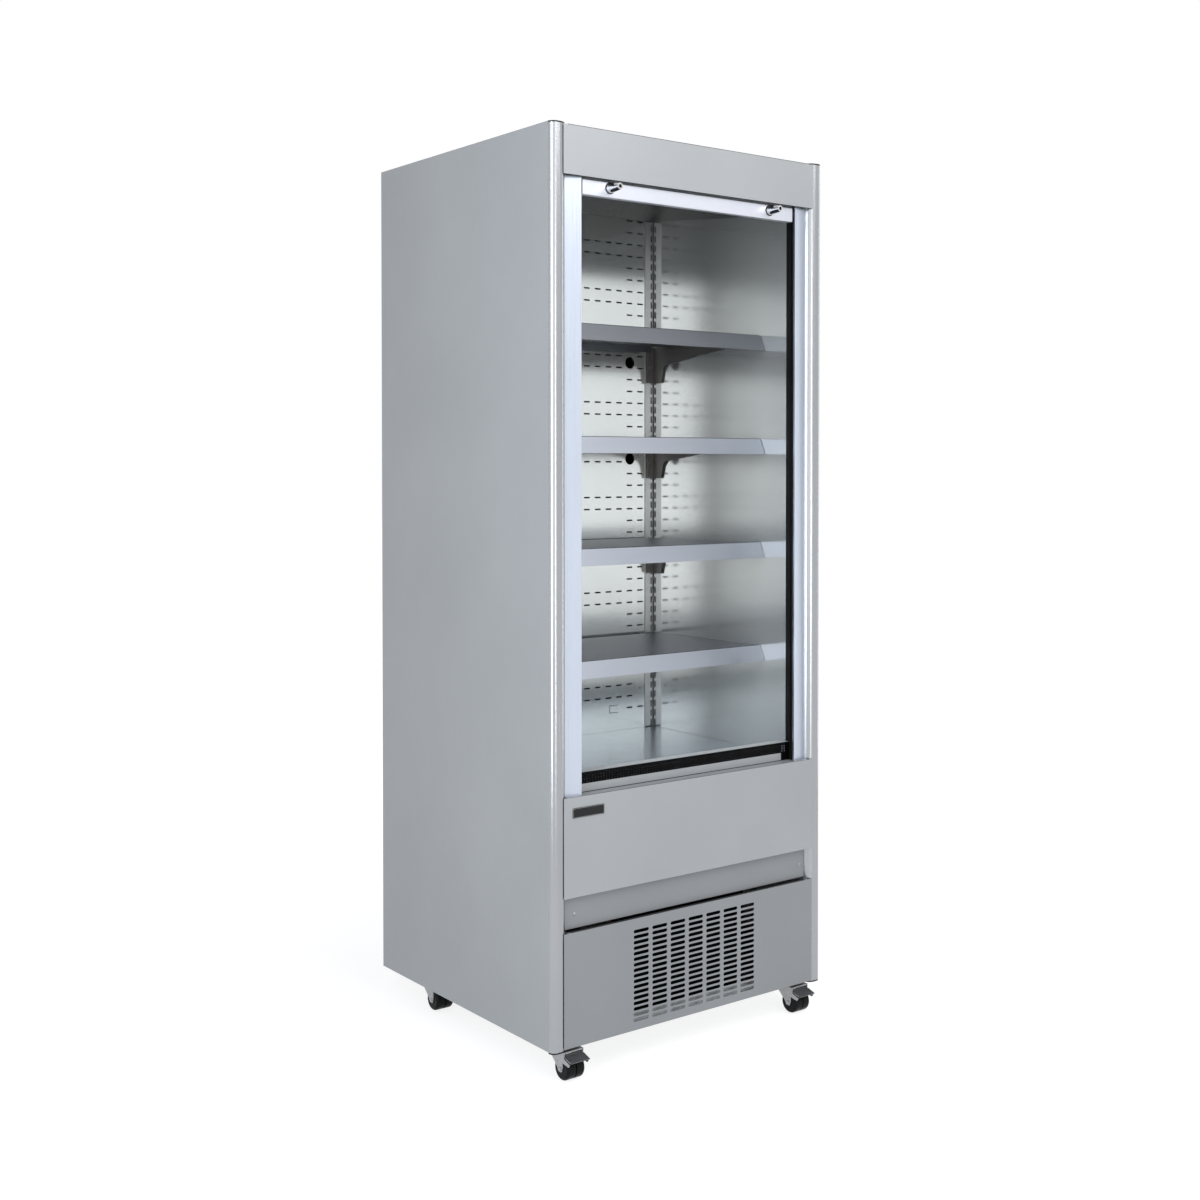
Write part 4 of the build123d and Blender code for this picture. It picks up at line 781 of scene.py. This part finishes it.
# %% Compressor and controller dressing
crown = at(120, 350, 188)
dressing = [turned([(0.0797, -0.0022), (0.0812, -0.0014), (0.0818, 0.0), (0.0812, 0.0014), (0.0797, 0.0022)],
                   crown - Vector((0, 0, 0.092)), (0, 0, 1), 64)]
for x in (-0.03, 0.03):
    dressing.append(turned([(0.0062, -0.003), (0.0062, 0.006), (0.0052, 0.009), (0.0045, 0.0105)],
                           crown + Vector((x, 0, 0)), (0, 0, 1), 24))
piece("compressor_seam_and_stubs", joined(dressing), black_enamel, "cabinet")
cover = slab(crown + Vector((-0.0905, -0.024, -0.105)), crown + Vector((-0.0785, 0.024, -0.05)), 0.003)
piece("compressor_terminal_cover", cover, black_moulding, "cabinet")
lid_low, lid_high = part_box("controller_box")
lid = [slab(Vector((lid_low.x + 0.003, lid_low.y + 0.015, lid_high.z - 0.0006)),
            Vector((lid_high.x - 0.003, lid_high.y - 0.003, lid_high.z + 0.0024)), 0.0012)]
rib_pitch, rib_width = 0.006, 0.002
for rib in range(6):
    rib_y = lid_low.y + 0.05 + rib_pitch * rib
    lid.append(slab(Vector((lid_low.x + 0.02, rib_y, lid_high.z + 0.0022)),
                    Vector((lid_high.x - 0.02, rib_y + rib_width, lid_high.z + 0.0032)), 0.0003))
piece("controller_lid", joined(lid), black_moulding, "cabinet")

# %% [markdown]
# ## Floor, light and camera
# The object stands on a plain pale floor in an even white surrounding. What the camera and the
# reflections see behind it is pure white, while the soft light that falls on it is weaker, so that
# its colours come out as they were written. Near the object the floor still takes a shadow.

# %% White surroundings
world = bpy.data.worlds.new("plain studio")
bpy.context.scene.world = world
world.use_nodes = True
tree = world.node_tree
tree.nodes.clear()


def seen_directly(tree):
    """1 for a ray that comes from the camera, a reflection or through glass."""
    path = tree.nodes.new("ShaderNodeLightPath")
    first = tree.nodes.new("ShaderNodeMath")
    second = tree.nodes.new("ShaderNodeMath")
    first.operation = second.operation = "MAXIMUM"
    tree.links.new(path.outputs["Is Camera Ray"], first.inputs[0])
    tree.links.new(path.outputs["Is Glossy Ray"], first.inputs[1])
    tree.links.new(first.outputs[0], second.inputs[0])
    tree.links.new(path.outputs["Is Transmission Ray"], second.inputs[1])
    return second.outputs[0]


soft = tree.nodes.new("ShaderNodeBackground")
soft.inputs["Color"].default_value = (0.93, 0.96, 1.0, 1)
soft.inputs["Strength"].default_value = 0.46
white = tree.nodes.new("ShaderNodeBackground")
white.inputs["Strength"].default_value = 1.0
white.inputs["Color"].default_value = (1, 1, 1, 1)
choose = tree.nodes.new("ShaderNodeMixShader")
out = tree.nodes.new("ShaderNodeOutputWorld")
tree.links.new(seen_directly(tree), choose.inputs[0])
tree.links.new(soft.outputs[0], choose.inputs[1])
tree.links.new(white.outputs[0], choose.inputs[2])
tree.links.new(choose.outputs[0], out.inputs[0])

# %% Floor
mesh = bpy.data.meshes.new("floor")
floor_half, floor_z = 30, -0.0005
corners = [(x * floor_half, y * floor_half, floor_z) for x, y in ((-1, -1), (1, -1), (1, 1), (-1, 1))]
mesh.from_pydata(corners, [], [(0, 1, 2, 3)])
floor = bpy.data.objects.new("floor", mesh)
bpy.context.scene.collection.objects.link(floor)
floor_paint = bpy.data.materials.new("pale floor")
floor_paint.use_nodes = True
tree = floor_paint.node_tree
tree.nodes.clear()
place = tree.nodes.new("ShaderNodeTexCoord")
length = tree.nodes.new("ShaderNodeVectorMath")
length.operation = "LENGTH"
tree.links.new(place.outputs["Object"], length.inputs[0])
share = tree.nodes.new("ShaderNodeMath")
share.operation = "MULTIPLY"
tree.links.new(seen_directly(tree), share.inputs[0])
tree.links.new(ranged(tree, length.outputs["Value"], 0.72, 1.0, 0.6, 2.2), share.inputs[1])
matt = tree.nodes.new("ShaderNodeBsdfDiffuse")
matt.inputs["Color"].default_value = (0.93, 0.93, 0.93, 1)
glow = tree.nodes.new("ShaderNodeEmission")
glow.inputs["Strength"].default_value = 1.13
choose = tree.nodes.new("ShaderNodeMixShader")
out = tree.nodes.new("ShaderNodeOutputMaterial")
tree.links.new(share.outputs[0], choose.inputs[0])
tree.links.new(matt.outputs[0], choose.inputs[1])
tree.links.new(glow.outputs[0], choose.inputs[2])
tree.links.new(choose.outputs[0], out.inputs[0])
mesh.materials.append(floor_paint)


# %% Lamps
def softbox(name, place, aim, size, power, colour=(1, 1, 1)):
    """A rectangular lamp that the camera doesn't see."""
    lamp = bpy.data.lights.new(name, "AREA")
    lamp.shape = "RECTANGLE"
    lamp.size, lamp.size_y = size
    lamp.energy = power
    lamp.color = colour
    new = bpy.data.objects.new(name, lamp)
    bpy.context.scene.collection.objects.link(new)
    new.location = place
    new.rotation_euler = (Vector(aim) - Vector(place)).to_track_quat("-Z", "Y").to_euler()
    new.visible_camera = False
    return new


softbox("high front light", (0.6, -3.4, 4.0), (0, 0, 1.1), (3.2, 2.6), 118)
softbox("wide fill", (-2.9, -4.4, 1.9), (0, 0, 1.1), (3.4, 3.0), 24, (0.96, 0.98, 1.0))
softbox("left strip", (-1.65, -0.85, 1.6), (-0.39, -0.3, 1.3), (0.45, 2.6), 27, (0.84, 0.92, 1.0))
softbox("right strip", (2.4, -0.8, 1.3), (0.39, -0.3, 1.1), (0.35, 2.3), 8, (0.95, 0.98, 1.0))
softbox("front strip", (-0.45, -3.6, 1.2), (0.36, -0.35, 1.1), (0.5, 2.3), 20, (0.95, 0.98, 1.0))

# %% [markdown]
# The camera stands to the left of the open front, at about chest height. Its lens and its small shift
# bring the object to the same place and size in the frame as in the photograph.

# %% Camera
camera = bpy.data.objects.new("camera", bpy.data.cameras.new("camera"))
bpy.context.scene.collection.objects.link(camera)
camera.location = (-2.2120, -2.9295, 1.2887)
camera.rotation_euler = (radians(90 - 1.076), 0, radians(-37.42))
camera.data.sensor_width = 36
camera.data.lens = 46.055
camera.data.shift_x = -0.00984
camera.data.shift_y = -0.08717
bpy.context.scene.camera = camera
bpy.context.scene.view_settings.view_transform = "Standard"
